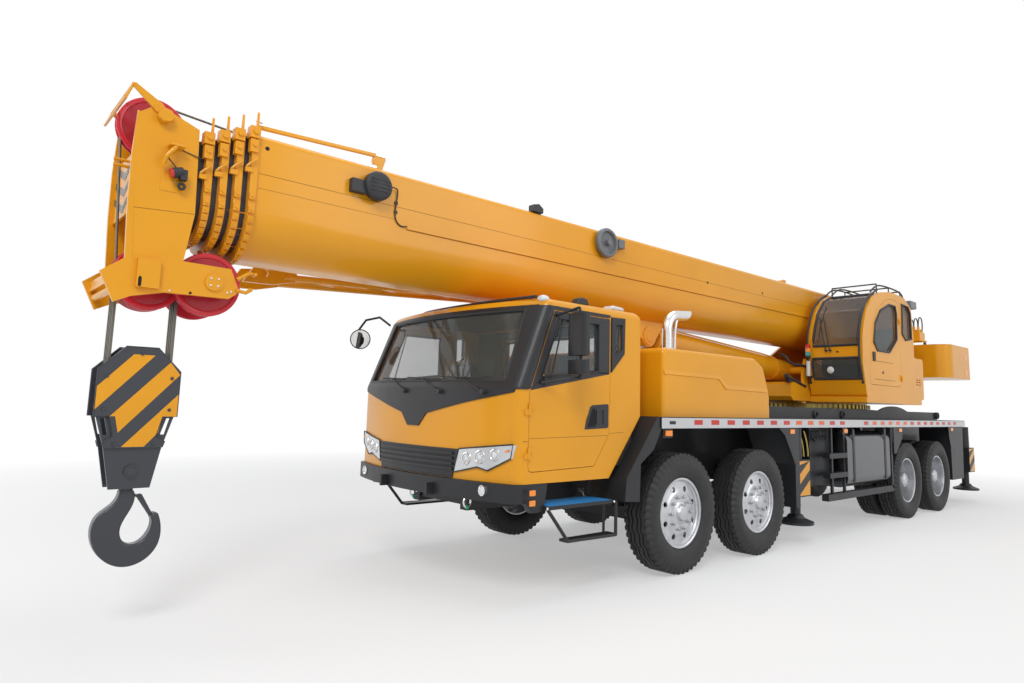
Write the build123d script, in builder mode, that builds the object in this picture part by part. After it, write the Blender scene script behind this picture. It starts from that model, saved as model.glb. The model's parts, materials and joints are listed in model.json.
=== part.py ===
"""Four-axle truck crane with a five-section telescopic boom, parked on its wheels.

Millimetres. +Z is up, the driver's cab and the boom head look along -Y, and +X is the
vehicle's left. The origin is on the ground under the middle of the whole length.
"""
from build123d import *
from math import hypot, sqrt
import os

os.makedirs("parts", exist_ok=True)

# Clearances
shaft_gap = 0.3
slide_gap = 0.3
panel_gap = 5.0

# Wheels
tyre_diameter = 1150.0
tyre_width = 315.0
tread_width = 250.0
rim_radius = 335.0
rim_skin = 14.0
wheel_z = tyre_diameter / 2
wheel_x = 1200.0
twin_spacing = 340.0
hub_radius = 118.0
stub_radius = 55.0
drum_radius = 205.0
wheel_hole_radius = 30.0
wheel_hole_count = 8

# Axle places
front_axle_y = [-2200.0, -750.0]
rear_axle_y = [3725.0, 5075.0]
kingpin_x = 980.0
kingpin_radius = 26.0
eye_radius = 52.0
eye_height = 130.0
spring_x = 525.0
spring_width = 86.0

# Chassis
rail_inner_x = 330.0
rail_outer_x = 430.0
frame_low_z = 820.0
frame_top_z = 1400.0
nose_low_z = 640.0
nose_top_z = 930.0
frame_front_y = -4150.0
frame_step_y = -2600.0
deck_half_width = 1375.0
deck_front_y = -2590.0
deck_rear_y = 6470.0
deck_top_z = 1500.0
deck_skin = 15.0
raised_x = 900.0
guard_x = 1350.0
raised_front_y = -400.0
raised_top_z = 1645.0
arch_top_z = 1715.0

# Slew bearing and superstructure
slew_y = 3250.0
slew_radius = 900.0
pedestal_radius = 880.0
pedestal_top_z = 1650.0
slew_ring_top_z = 1712.0
slew_teeth = 72
turn_plate_top_z = 1790.0
side_plate_inner_x = 425.0
side_plate_thickness = 40.0

# Outriggers
outrigger_y = [[305.0, 585.0], [6900.0, 6620.0]]
beam_width = 240.0
beam_low_z = 680.0
beam_top_z = 960.0
box_skin = 20.0
box_half_width = 1120.0
jack_radius = 90.0
jack_x = 1215.0
jack_low_z = 560.0
jack_top_z = 1380.0
pad_low_z = 230.0
pad_radius = 210.0

# Boom: outer half width, top and bottom of each section, and where its collar faces forward
boom_half = [400.0, 364.0, 329.0, 295.0, 262.0]
boom_top = [3530.0, 3496.0, 3463.0, 3431.0, 3400.0]
boom_low = [2620.0, 2654.0, 2687.0, 2719.0, 2750.0]
boom_skin = 9.0
collar_front_y = [-6236.0, -6330.0, -6422.0, -6516.0]
collar_depth = 50.0
section_length = 10300.0
boom_rear_y = collar_front_y[0] + section_length + 886.0
boom_foot_y = boom_rear_y - 400.0
boom_foot_z = (boom_top[0] + boom_low[0]) / 2 - 25.0
foot_pin_radius = 70.0

# Luffing cylinder
eye_y = -1250.0
eye_z = 2460.0
base_y = 2400.0
base_z = 2220.0
barrel_radius = 170.0
rod_radius = 128.0
cylinder_eye_radius = 130.0
cylinder_pin_radius = 60.0
bracket_rise = 30.0

# Boom head and hook block
head_front_y = -6960.0
head_rear_y = -6560.0
head_inner_x = 290.0
head_plate = 30.0
sheave_a_y = -6755.0
sheave_a_z = 2400.0
sheave_b_y = -6395.0
sheave_b_z = 2387.0
top_sheave_y = -6816.0
top_sheave_z = 3489.0
sheave_radius = 230.0
rope_pitch_radius = 192.0
rope_radius = 9.0
fall_x = [-63.0, -21.0, 21.0, 63.0]

# Driver's cab
cab_half_width = 1250.0
cab_front_y = -4470.0
cab_rear_y = -2760.0
cab_low_z = 950.0
cab_belt_z = 1720.0
cab_top_z = 2490.0
cab_front_arc = 4000.0
cab_rake = 0.40
cab_wall = 50.0
cab_corner = 110.0
glass_inset = 20.0
glass_thickness = 6.0

# Operator's cab
op_inner_x = 500.0
op_outer_x = 1320.0
op_floor_z = 1825.0
op_wall = 35.0


def plate(plane, outline, amount, mode=Mode.ADD, radius=0.0):
    """Extrude a closed outline drawn on a plane; the corners may be rounded."""
    with BuildSketch(plane) as shape:
        Polygon(*outline, align=None)
        if radius:
            fillet(shape.vertices(), radius)
    extrude(shape.sketch, amount=amount, mode=mode)


def side(outline, x_from, x_to, mode=Mode.ADD, radius=0.0):
    """A piece cut to a side outline (y, z) between two places across the vehicle."""
    plate(Plane.YZ.offset(x_from), outline, x_to - x_from, mode, radius)


def block(x, y, z, mode=Mode.ADD):
    """A box between two limits along each of X, Y and Z."""
    with Locations(((x[0] + x[1]) / 2, (y[0] + y[1]) / 2, (z[0] + z[1]) / 2)):
        Box(x[1] - x[0], y[1] - y[0], z[1] - z[0], mode=mode)


def bar(start, end, radius, mode=Mode.ADD, sides=0):
    """A round bar between two points, or one with a few flat sides."""
    run = Vector(*end) - Vector(*start)
    with BuildSketch(Plane(origin=start, z_dir=run)) as section:
        if sides:
            RegularPolygon(radius, sides)
        else:
            Circle(radius)
    extrude(section.sketch, amount=run.length, mode=mode)


def turned(centre, profile, mode=Mode.ADD, along="X"):
    """Revolve an outline of (distance along the axis, radius) about a line through a centre."""
    if along == "X":
        plane = Plane(origin=centre, x_dir=(1, 0, 0), z_dir=(0, -1, 0))
        axis = Axis(centre, (1, 0, 0))
    else:
        plane = Plane(origin=centre, x_dir=(0, 0, 1), z_dir=(0, 1, 0))
        axis = Axis(centre, (0, 0, 1))
    with BuildSketch(plane) as shape:
        Polygon(*profile, align=None)
    revolve(shape.sketch, axis=axis, mode=mode)


def finish(piece, name):
    """Label a finished piece and write its file."""
    piece.part.label = name
    export_step(piece.part, f"parts/{name}.step")


# Wheels: each node holds its tyre or twin tyres and the disc that carries them
def tyre_profile(middle, sign):
    half = tyre_width / 2
    bead = half - 50
    points = [
        (-bead, rim_radius),
        (-half, rim_radius + 95),
        (-half, rim_radius + 145),
        (-tread_width / 2 - 12, wheel_z - 14),
        (-tread_width / 2, wheel_z),
        (tread_width / 2, wheel_z),
        (tread_width / 2 + 12, wheel_z - 14),
        (half, rim_radius + 145),
        (half, rim_radius + 95),
        (bead, rim_radius),
    ]
    return [(middle + sign * u, r) for u, r in points]


def front_disc_profile(sign):
    flange = tyre_width / 2 - 40
    bore = stub_radius + shaft_gap
    points = [
        (150, 0),
        (150, 75),
        (138, hub_radius),
        (104, hub_radius + 12),
        (104, 235),
        (86, rim_radius - 32),
        (flange, rim_radius - rim_skin),
        (flange, rim_radius),
        (-flange, rim_radius),
        (-flange, rim_radius - rim_skin),
        (66, rim_radius - 34),
        (84, 232),
        (84, drum_radius),
        (-100, drum_radius),
        (-100, drum_radius - 16),
        (60, drum_radius - 16),
        (60, hub_radius),
        (-60, hub_radius),
        (-60, bore),
        (118, bore),
        (118, 0),
    ]
    return [(sign * u, r) for u, r in points]


def rear_disc_profile(sign):
    flange = tyre_width / 2 - 40
    bore = stub_radius + shaft_gap
    web = -twin_spacing / 2
    points = [
        (96, 0),
        (96, 70),
        (84, hub_radius),
        (web + 14, hub_radius + 6),
        (web + 14, rim_radius - rim_skin),
        (flange, rim_radius - rim_skin),
        (flange, rim_radius),
        (-twin_spacing - flange, rim_radius),
        (-twin_spacing - flange, rim_radius - rim_skin),
        (web - 14, rim_radius - rim_skin),
        (web - 14, drum_radius),
        (-twin_spacing - 90, drum_radius),
        (-twin_spacing - 90, drum_radius - 16),
        (web - 30, drum_radius - 16),
        (web - 30, hub_radius),
        (-twin_spacing - 50, hub_radius),
        (-twin_spacing - 50, bore),
        (66, bore),
        (66, 0),
    ]
    return [(sign * u, r) for u, r in points]


def wheel(name, sign, y, twin):
    centre = (sign * wheel_x, y, wheel_z)
    hole_circle = (hub_radius + rim_radius) / 2 + 12
    with BuildPart() as disc:
        turned(centre, rear_disc_profile(sign) if twin else front_disc_profile(sign))
        with BuildSketch(Plane(origin=centre, x_dir=(0, 1, 0), z_dir=(sign, 0, 0))) as holes:
            with PolarLocations(hole_circle, wheel_hole_count):
                Circle(wheel_hole_radius)
        extrude(holes.sketch, amount=-tyre_width if twin else tyre_width, mode=Mode.SUBTRACT)
    with BuildPart() as rolling:
        add(disc.part)
        turned(centre, tyre_profile(0, sign))
        if twin:
            turned(centre, tyre_profile(-sign * twin_spacing, sign))
    finish(rolling, name)


for side_name, sign in (("left", 1), ("right", -1)):
    for number, y in enumerate(front_axle_y, 1):
        wheel(f"wheel_{number}_{side_name}", sign, y, False)
    for number, y in enumerate(rear_axle_y, 3):
        wheel(f"wheel_{number}_{side_name}", sign, y, True)


# Knuckles: a fork that holds the axle's eye, its kingpin and the stub that the wheel turns on
def knuckle(name, sign, y):
    fork_half = eye_height / 2 + 6
    inner = kingpin_x + eye_radius + 10
    with BuildPart() as piece:
        for low, high in ((-fork_half - 44, -fork_half), (fork_half, fork_half + 44)):
            with BuildSketch(Plane.XY.offset(wheel_z + low)) as lug:
                with Locations((sign * kingpin_x, y)):
                    Circle(eye_radius)
                with Locations((sign * (kingpin_x + inner) / 2, y)):
                    Rectangle(inner - kingpin_x + 44, 2 * eye_radius - 14)
            extrude(lug.sketch, amount=high - low)
        height = fork_half + 44
        block(
            sorted((sign * (inner - 2), sign * (inner + 40))),
            (y - eye_radius + 7, y + eye_radius - 7),
            (wheel_z - height, wheel_z + height),
        )
        plate_x = wheel_x - 100 - 12
        turned(
            (sign * plate_x, y, wheel_z),
            [(0, 0), (0, drum_radius - 24), (-sign * 10, drum_radius - 24), (-sign * 10, 0)],
        )
        bar((sign * inner, y, wheel_z), (sign * (wheel_x + 112), y, wheel_z), stub_radius)
        bar(
            (sign * kingpin_x, y, wheel_z - height - 8),
            (sign * kingpin_x, y, wheel_z + height + 8),
            kingpin_radius,
        )
    finish(piece, name)


for side_name, sign in (("left", 1), ("right", -1)):
    for number, y in enumerate(front_axle_y, 1):
        knuckle(f"knuckle_{number}_{side_name}", sign, y)


# Axles: two dropped front beams on leaf springs, two driven rear axles on equalizer beams
beam_drop_z = wheel_z - eye_height / 2 - 80
with BuildPart() as axles:
    for y in front_axle_y:
        half = [
            (0, beam_drop_z),
            (690, beam_drop_z),
            (840, wheel_z - eye_height / 2),
            (kingpin_x, wheel_z - eye_height / 2),
            (kingpin_x, wheel_z + eye_height / 2),
            (820, wheel_z + eye_height / 2),
            (660, beam_drop_z + 125),
            (0, beam_drop_z + 125),
        ]
        outline = half + [(-x, z) for x, z in reversed(half[1:-1])]
        plate(Plane.XZ.offset(-y - 45), outline, 90)
        for sign in (1, -1):
            with Locations((sign * kingpin_x, y, wheel_z)):
                Cylinder(eye_radius, eye_height)
                Cylinder(kingpin_radius + shaft_gap, 2 * eye_height, mode=Mode.SUBTRACT)
            seat_z = beam_drop_z + 125
            spring = [
                (y - 610, 770),
                (y - 590, 735),
                (y - 120, seat_z - 0.5),
                (y + 120, seat_z - 0.5),
                (y + 590, 735),
                (y + 610, 770),
                (y + 150, seat_z + 78),
                (y - 150, seat_z + 78),
            ]
            x_from = sign * spring_x - spring_width / 2
            side(spring, x_from, x_from + spring_width)
            block(
                (sign * spring_x - 60, sign * spring_x + 60),
                (y - 75, y + 75),
                (seat_z + 60, seat_z + 96),
            )
    for y in rear_axle_y:
        bar((-wheel_x - 60, y, wheel_z), (wheel_x + 60, y, wheel_z), stub_radius)
        bar((-680, y, wheel_z), (680, y, wheel_z), 88)
        turned(
            (0, y, wheel_z),
            [(-210, 0), (-210, 90), (-90, 215), (90, 215), (210, 90), (210, 0)],
        )
        for sign in (1, -1):
            flange = sign * (wheel_x - twin_spacing - 105)
            bar((flange - sign * 10, y, wheel_z), (flange, y, wheel_z), drum_radius - 24)
    middle = sum(rear_axle_y) / 2
    rear_span = rear_axle_y[1] - rear_axle_y[0]
    for sign in (1, -1):
        x_from = sign * spring_x - spring_width / 2
        balance = [
            (rear_axle_y[0] - 90, wheel_z + 60),
            (rear_axle_y[1] + 90, wheel_z + 60),
            (rear_axle_y[1] + 60, wheel_z + 120),
            (middle + 160, wheel_z + 200),
            (middle - 160, wheel_z + 200),
            (rear_axle_y[0] - 60, wheel_z + 120),
        ]
        side(balance, x_from, x_from + spring_width)
finish(axles, "axles")


# Chassis frame: deep rails, cross members, bearing pedestal and the two outrigger boxes
def outrigger_box(rows):
    low = min(rows) - beam_width / 2 - box_skin - slide_gap
    high = max(rows) + beam_width / 2 + box_skin + slide_gap
    block(
        (-box_half_width, box_half_width),
        (low, high),
        (beam_low_z - box_skin - slide_gap, beam_top_z + box_skin + slide_gap),
    )


def beam_tunnels(rows):
    for y in rows:
        half = beam_width / 2 + slide_gap
        block(
            (-box_half_width - 1, box_half_width + 1),
            (y - half, y + half),
            (beam_low_z - slide_gap, beam_top_z + slide_gap),
            Mode.SUBTRACT,
        )


with BuildPart() as chassis_frame:
    rail = [
        (frame_front_y, nose_low_z),
        (frame_step_y - 250, nose_low_z),
        (frame_step_y, frame_low_z),
        (max(outrigger_y[1]) + beam_width / 2, frame_low_z),
        (max(outrigger_y[1]) + beam_width / 2, frame_top_z - 60),
        (deck_rear_y, frame_top_z),
        (deck_front_y + 30, frame_top_z),
        (frame_step_y - 150, nose_top_z),
        (frame_front_y, nose_top_z),
    ]
    for sign in (1, -1):
        x_from = min(sign * rail_inner_x, sign * rail_outer_x)
        side(rail, x_from, x_from + rail_outer_x - rail_inner_x)
    for y_from, y_to, low, high in (
        (frame_front_y + 20, frame_front_y + 100, nose_low_z + 40, nose_top_z - 20),
        (frame_step_y - 180, frame_step_y - 80, nose_low_z + 60, nose_top_z - 30),
        (-420, 5950, frame_top_z - 20, frame_top_z),
        (-100, 6300, frame_low_z, frame_low_z + 20),
        (-420, -400, frame_low_z, frame_top_z - 10),
    ):
        block((-rail_inner_x - 10, rail_inner_x + 10), (y_from, y_to), (low, high))
    for y in front_axle_y:
        for end in (-600, 600):
            for sign in (1, -1):
                hanger = [
                    (y + end - 70, 900),
                    (y + end + 70, 900),
                    (y + end + 40, 770),
                    (y + end - 40, 770),
                ]
                x_pair = sorted((sign * rail_outer_x, sign * (spring_x + spring_width / 2)))
                side(hanger, x_pair[0] - 10 * (sign < 0), x_pair[1] + 10 * (sign > 0))
    for sign in (1, -1):
        for y in (-4050, -3250):
            block(
                sorted((sign * rail_inner_x, sign * rail_outer_x)),
                (y - 50, y + 50),
                (nose_top_z, cab_low_z),
            )
    trunnion = [(middle - 170, 1000), (middle + 170, 1000), (middle + 110, wheel_z + 200)]
    trunnion.append((middle - 110, wheel_z + 200))
    for sign in (1, -1):
        x_pair = sorted((sign * rail_outer_x, sign * (spring_x + spring_width / 2)))
        side(trunnion, x_pair[0], x_pair[1])
    with Locations((0, slew_y, (frame_top_z + pedestal_top_z) / 2)):
        Cylinder(pedestal_radius, pedestal_top_z - frame_top_z)
    for sign in (1, -1):
        raised = [
            (raised_front_y, deck_top_z),
            (deck_rear_y - 20, deck_top_z),
            (deck_rear_y - 20, raised_top_z - 50),
            (deck_rear_y - 90, raised_top_z - 10),
            (slew_y + 500, raised_top_z - 10),
            (slew_y + 200, raised_top_z),
            (raised_front_y, raised_top_z),
        ]
        side(raised, min(sign * raised_x, sign * (raised_x + 30)), max(sign * raised_x, sign * (raised_x + 30)))
        with BuildSketch(Plane.YZ.offset(sign * raised_x - 15)) as arch:
            with BuildLine():
                ThreePointArc(
                    (middle - 1000, deck_top_z), (middle, arch_top_z), (middle + 1000, deck_top_z)
                )
                Line((middle + 1000, deck_top_z), (middle - 1000, deck_top_z))
            make_face()
        extrude(arch.sketch, amount=30)
    block((-raised_x - 1, raised_x + 1), (raised_front_y, slew_y), (pedestal_top_z - 45, pedestal_top_z - 25))
    for rows in outrigger_y:
        outrigger_box(rows)
    for rows in outrigger_y:
        beam_tunnels(rows)
finish(chassis_frame, "chassis_frame")

with BuildPart() as slew_ring:
    with BuildSketch(Plane.XY.offset(pedestal_top_z)) as ring:
        with Locations((0, slew_y)):
            Circle(slew_radius)
            with PolarLocations(slew_radius + 8, slew_teeth):
                Rectangle(32, 38)
            Circle(slew_radius - 110, mode=Mode.SUBTRACT)
    extrude(ring.sketch, amount=slew_ring_top_z - pedestal_top_z)
finish(slew_ring, "slew_ring")


# Outrigger beams with their jack barrels, and the jack legs with their floats
def outrigger(corner, sign, y):
    far_end = -sign * (box_half_width - 30)
    with BuildPart() as beam:
        block(
            sorted((far_end, sign * (jack_x - jack_radius + 10))),
            (y - beam_width / 2, y + beam_width / 2),
            (beam_low_z, beam_top_z),
        )
        block(
            sorted((sign * (box_half_width + 6), sign * (jack_x + 125))),
            (y - 145, y + 145),
            (jack_low_z, beam_top_z + 40),
        )
        with Locations((sign * jack_x, y, (jack_low_z + jack_top_z) / 2)):
            Cylinder(jack_radius, jack_top_z - jack_low_z)
        bar(
            (sign * jack_x, y, jack_low_z - 1),
            (sign * jack_x, y, jack_top_z - 40),
            jack_radius - 30 + shaft_gap,
            Mode.SUBTRACT,
        )
    finish(beam, f"outrigger_beam_{corner}")
    with BuildPart() as jack:
        bar(
            (sign * jack_x, y, pad_low_z + 30),
            (sign * jack_x, y, jack_top_z - 60),
            jack_radius - 30,
        )
        turned(
            (sign * jack_x, y, pad_low_z),
            [(0, 0), (0, pad_radius), (30, pad_radius), (70, 110), (110, 80), (110, 0)],
            along="Z",
        )
    finish(jack, f"outrigger_jack_{corner}")


for place, rows in (("front", outrigger_y[0]), ("rear", outrigger_y[1])):
    outrigger(f"{place}_left", 1, rows[0])
    outrigger(f"{place}_right", -1, rows[1])


# Deck: a plated platform with a lip all round, bearers below and the black guards
with BuildPart() as deck:
    block(
        (-deck_half_width, deck_half_width),
        (deck_front_y, deck_rear_y),
        (frame_top_z, deck_top_z),
    )
    block(
        (-deck_half_width + deck_skin, deck_half_width - deck_skin),
        (deck_front_y + deck_skin, deck_rear_y - deck_skin),
        (frame_top_z, deck_top_z - deck_skin),
        Mode.SUBTRACT,
    )
    bearer_count = 10
    bearer_step = (deck_rear_y - deck_front_y - 400) / (bearer_count - 1)
    for index in range(bearer_count):
        y = deck_front_y + 200 + index * bearer_step
        block(
            (-deck_half_width + deck_skin, deck_half_width - deck_skin),
            (y - 25, y + 25),
            (frame_top_z, deck_top_z - deck_skin),
        )
    block((-320, 320), (-2400, -500), (frame_top_z - 1, deck_top_z + 1), Mode.SUBTRACT)
    with Locations((0, slew_y, deck_top_z)):
        Cylinder(pedestal_radius, 400, mode=Mode.SUBTRACT)
    for sign in (1, -1):
        under = deck_top_z - deck_skin
        guard_side = [
            (-2634, deck_top_z - 1),
            (-3084, 951),
            (-3105, 750),
            (-2900, 736),
            (-2885, 1070),
            (-2690, 1200),
            (-2600, 1349),
            (-2580, 1380),
            (-2580, deck_top_z - 1),
        ]
        guard_front = [
            (-2634, deck_top_z - 1),
            (-3084, 951),
            (-3105, 750),
            (-3093, 750),
            (-3072, 947),
            (-2619, under),
            (-2570, under),
            (-2570, deck_top_z - 1),
        ]
        rear_of_second = [
            (-318, under),
            (150, under),
            (150, 450),
            (45, 450),
            (45, 960),
            (-190, 1300),
            (-318, 1385),
        ]
        rear_of_fourth = [
            (5590, under),
            (6370, under),
            (6300, 480),
            (5690, 480),
            (5690, 1044),
            (5630, 1200),
        ]
        front_of_third = [(3120, under), (3480, under), (3460, 1230), (3210, 1000), (3120, 1000)]
        for outline in (guard_side, rear_of_second, rear_of_fourth, front_of_third):
            side(outline, min(sign * guard_x, sign * (guard_x + 12)), max(sign * guard_x, sign * (guard_x + 12)))
        inner_pair = sorted((sign * 860, sign * (guard_x + 1)))
        side(guard_front, inner_pair[0], inner_pair[1])
        flap = [(-240, under), (-190, under), (60, 960), (60, 450), (45, 450), (45, 955)]
        side(flap, inner_pair[0], inner_pair[1])
        rear_flap = [(5690, under + 10), (5720, under + 10), (5720, 480), (5700, 480)]
        side(rear_flap, inner_pair[0], inner_pair[1])
        block(sorted((sign * 1255, sign * 1345)), (940, 3100), (455, 540))
        for y in (1120, 1490, 3040):
            block(sorted((sign * 1285, sign * 1315)), (y, y + 40), (539, frame_top_z + 1))
        for z in (740, 990):
            block(sorted((sign * 1250, sign * 1345)), (1005, 1530), (z, z + 65))
        block(sorted((sign * 640, sign * 1180)), (790, 1440), (640, under + 1))
finish(deck, "deck")

# Engine: one plain block with its gearbox
with BuildPart() as engine:
    block((-290, 290), (-2250, -1150), (720, 1950))
    block((-200, 200), (-1160, -560), (760, 1250))
    for sign in (1, -1):
        block(sorted((sign * 280, sign * rail_inner_x)), (-1800, -1650), (1150, 1250))
finish(engine, "engine")

# Engine hood: a folded cover over the engine, open below
hood_profile = [
    (-2460, 1500),
    (-2460, 2180),
    (-728, 2180),
    (-581, 2111),
    (-505, 1928),
    (-440, 1744),
    (-440, 1500),
]
with BuildPart() as engine_hood:
    with BuildSketch(Plane.YZ.offset(-1300)) as outline:
        Polygon(*hood_profile, align=None)
        fillet(outline.vertices().group_by(Axis.Y)[-1], 60)
    extrude(outline.sketch, amount=2600)
    fillet(engine_hood.edges().filter_by(Axis.Y).group_by(Axis.Z)[-1], 40)
    offset(amount=-16, openings=engine_hood.faces().sort_by(Axis.Z)[0])
finish(engine_hood, "engine_hood")

# Exhaust: a standpipe on the hood with a bend that looks back, its mouth cut at a slant
exhaust_x = 1150.0
exhaust_y = -2200.0
with BuildPart() as exhaust:
    with BuildLine() as route:
        Polyline(
            (exhaust_x, exhaust_y, 2180),
            (exhaust_x, exhaust_y, 2535),
            (exhaust_x, exhaust_y + 460, 2575),
        )
        fillet(route.vertices().sort_by(Axis.Z)[1], 170)
    with BuildSketch(Plane(origin=(exhaust_x, exhaust_y, 2180), z_dir=(0, 0, 1))) as tube:
        Circle(52)
        Circle(45, mode=Mode.SUBTRACT)
    sweep(tube.sketch, path=route.line)
    mouth = [(-1900, 2480), (-1790, 2660), (-1700, 2660), (-1700, 2480)]
    side(mouth, exhaust_x - 80, exhaust_x + 80, Mode.SUBTRACT)
finish(exhaust, "exhaust")


# Fuel tank on the left, oil tank on the right, each with two straps on brackets
tank_y = [1545.0, 3005.0]
with BuildPart() as tanks:
    for sign in (1, -1):
        x_pair = sorted((sign * 700, sign * 1340))
        with BuildSketch(Plane.XZ.offset(-tank_y[1])) as shape:
            with Locations((sign * 1025, 955)):
                RectangleRounded(630, 740, 130)
        extrude(shape.sketch, amount=tank_y[1] - tank_y[0])
        for y in (tank_y[0] + 205, tank_y[1] - 172):
            block(sorted((sign * rail_outer_x, sign * 1000)), (y, y + 60), (900, 1399.9))
finish(tanks, "tanks")


# Driver's cab: a curved front, a raked upper half and a cut corner over the first wheel
def cab_volume(inset):
    """The cab's outer form, or the same form set in by a wall."""
    half = cab_half_width - inset
    front = cab_front_y + inset
    sag = cab_front_arc - sqrt(cab_front_arc**2 - half**2)
    belt = cab_belt_z
    top = cab_top_z - inset
    floor = cab_low_z + inset
    rear = cab_rear_y - inset
    radius = cab_corner - inset
    with BuildPart() as volume:
        with BuildSketch(Plane.XY.offset(floor)) as plan:
            with BuildLine():
                ThreePointArc((-half, front + sag), (0, front), (half, front + sag))
                Polyline((half, front + sag), (half, rear), (-half, rear), (-half, front + sag))
            make_face()
            fillet(plan.vertices().group_by(Axis.Y)[0], radius)
        extrude(amount=belt - floor)
        with BuildSketch(Plane.XY.offset(belt)) as waist:
            with BuildLine():
                ThreePointArc((-half, front + sag), (0, front), (half, front + sag))
                Polyline(
                    (half, front + sag), (half, rear), (-half, rear), (-half, front + sag)
                )
            make_face()
            fillet(waist.vertices().group_by(Axis.Y)[0], radius)
        extrude(amount=(top - belt) * sqrt(1 + cab_rake**2), dir=(0, cab_rake, 1))
        block((-half, half), (rear, rear + 1000), (floor, top), Mode.SUBTRACT)
        roof = volume.faces().filter_by(Axis.Z).sort_by(Axis.Z)[-1]
        fillet(roof.edges(), max(80 - inset, 5))
        corner = [
            (-3200 - 0.781 * inset, cab_low_z + 0.625 * inset),
            (-2760 - 0.781 * inset, 1500 + 0.625 * inset),
        ]
        run = (0.625, 0.781)
        low = (corner[0][0] - 500 * run[0], corner[0][1] - 500 * run[1])
        high = (corner[1][0] + 300 * run[0], corner[1][1] + 300 * run[1])
        side([low, (high[0] + 200, low[1]), high], -half - 1, half + 1, Mode.SUBTRACT)
    return volume.part


windscreen = [(-1100, 1765), (1100, 1765), (1060, 2405), (-1060, 2405)]
door_outline = [
    (-4175, 1045),
    (-3400, 1065),
    (-3205, 1340),
    (-3195, 1880),
    (-3195, 2385),
    (-3905, 2385),
    (-4155, 1740),
    (-4175, 1690),
]
door_window = [(-4060, 1805), (-3345, 1885), (-3345, 2330), (-3850, 2330)]
rear_window = [(-700, 1700), (700, 1700), (700, 2300), (-700, 2300)]
quarter_window = [(-3135, 2040), (-3015, 2105), (-3015, 2345), (-3135, 2335)]
door_outer = cab_half_width + 1
door_inner = cab_half_width - cab_wall - 1
cab_outer = cab_volume(0)
cab_inner = cab_volume(cab_wall)


def door_gap_outline():
    """The door's outline, grown by the gap round it."""
    with BuildSketch(Plane.YZ) as shape:
        Polygon(*door_outline, align=None)
        fillet(shape.vertices(), 40)
        offset(amount=panel_gap)
    return shape.sketch


# Door hinges: a lug on the frame below a lug on the door, both round the hinge line
hinge_out = 12.0
hinge_radius = 12.0
hinge_lug = 45.0


def hinge_lugs(x, y, heights, toward, lift=0.0):
    """One half of a door's hinges: barrels on the hinge line, each with its leaf."""
    for z in heights:
        with Locations((x, y, z + lift + hinge_lug / 2)):
            Cylinder(hinge_radius, hinge_lug)
        face = x - hinge_out * (1 if x > 0 else -1)
        block(
            sorted((x, face - 4 * (1 if x > 0 else -1))),
            sorted((y, y + toward * 45)),
            (z + lift, z + lift + hinge_lug),
        )


with BuildPart() as cab_shell:
    add(cab_outer)
    add(cab_inner, mode=Mode.SUBTRACT)
    plate(Plane.XZ.offset(3700), windscreen, 1200, Mode.SUBTRACT, 60)
    plate(Plane.XZ.offset(-cab_rear_y - 200), rear_window, 400, Mode.SUBTRACT, 60)
    for sign in (1, -1):
        x_pair = sorted((sign * door_outer, sign * door_inner))
        extrude(door_gap_outline().moved(Location((x_pair[0], 0, 0))), amount=x_pair[1] - x_pair[0],
                mode=Mode.SUBTRACT)
        side(quarter_window, x_pair[0], x_pair[1], Mode.SUBTRACT, 25)
    for sign in (1, -1):
        hinge_lugs(sign * (cab_half_width + hinge_out), -4180, (1150, 1500), -1)
finish(cab_shell, "cab_shell")

glass_skin_outer = cab_volume(glass_inset)
glass_skin_inner = cab_volume(glass_inset + glass_thickness)
with BuildPart() as cab_glass:
    with BuildPart(mode=Mode.PRIVATE) as panes:
        plate(Plane.XZ.offset(3700), windscreen, 1200, radius=60)
        plate(Plane.XZ.offset(-cab_rear_y - 200), rear_window, 400, radius=60)
        for sign in (1, -1):
            x_pair = sorted((sign * door_outer, sign * door_inner))
            side(quarter_window, x_pair[0], x_pair[1], radius=25)
    add(glass_skin_outer)
    add(glass_skin_inner, mode=Mode.SUBTRACT)
    add(panes.part, mode=Mode.INTERSECT)
finish(cab_glass, "cab_glass")

for side_name, sign in (("left", 1), ("right", -1)):
    x_pair = sorted((sign * (cab_half_width - cab_wall), sign * cab_half_width))
    with BuildPart() as door:
        side(door_outline, x_pair[0], x_pair[1], radius=40)
        side(door_window, x_pair[0] - 1, x_pair[1] + 1, Mode.SUBTRACT, 50)
        hinge_lugs(sign * (cab_half_width + hinge_out), -4180, (1150, 1500), 1, hinge_lug + slide_gap)
    finish(door, f"door_{side_name}")
    pane_x = sign * (cab_half_width - glass_inset)
    with BuildPart() as pane:
        side(door_window, min(pane_x, pane_x - sign * 6), max(pane_x, pane_x - sign * 6), radius=50)
    finish(pane, f"door_glass_{side_name}")

with BuildPart() as mirror_left:
    arm_x = cab_half_width + 240
    bar((cab_half_width, -3888, 2345), (cab_half_width + 20, -3888, 2345), 14)
    bar((cab_half_width + 15, -3888, 2345), (arm_x - 20, -3835, 2400), 11)
    bar((arm_x - 20, -3835, 2400), (arm_x, -3835, 2300), 11)
    bar((cab_half_width, -4060, 1765), (cab_half_width + 20, -4060, 1765), 14)
    bar((cab_half_width + 15, -4060, 1765), (arm_x, -3835, 1815), 11)
    bar((arm_x, -3835, 1805), (arm_x, -3835, 2320), 13)
    for low, high in ((1838, 1958), (1995, 2345)):
        with BuildSketch(Plane.XY.offset(low)) as housing:
            with Locations((arm_x, -3860)):
                RectangleRounded(200, 84, 30)
        extrude(housing.sketch, amount=high - low)
finish(mirror_left, "mirror_left")

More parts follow.
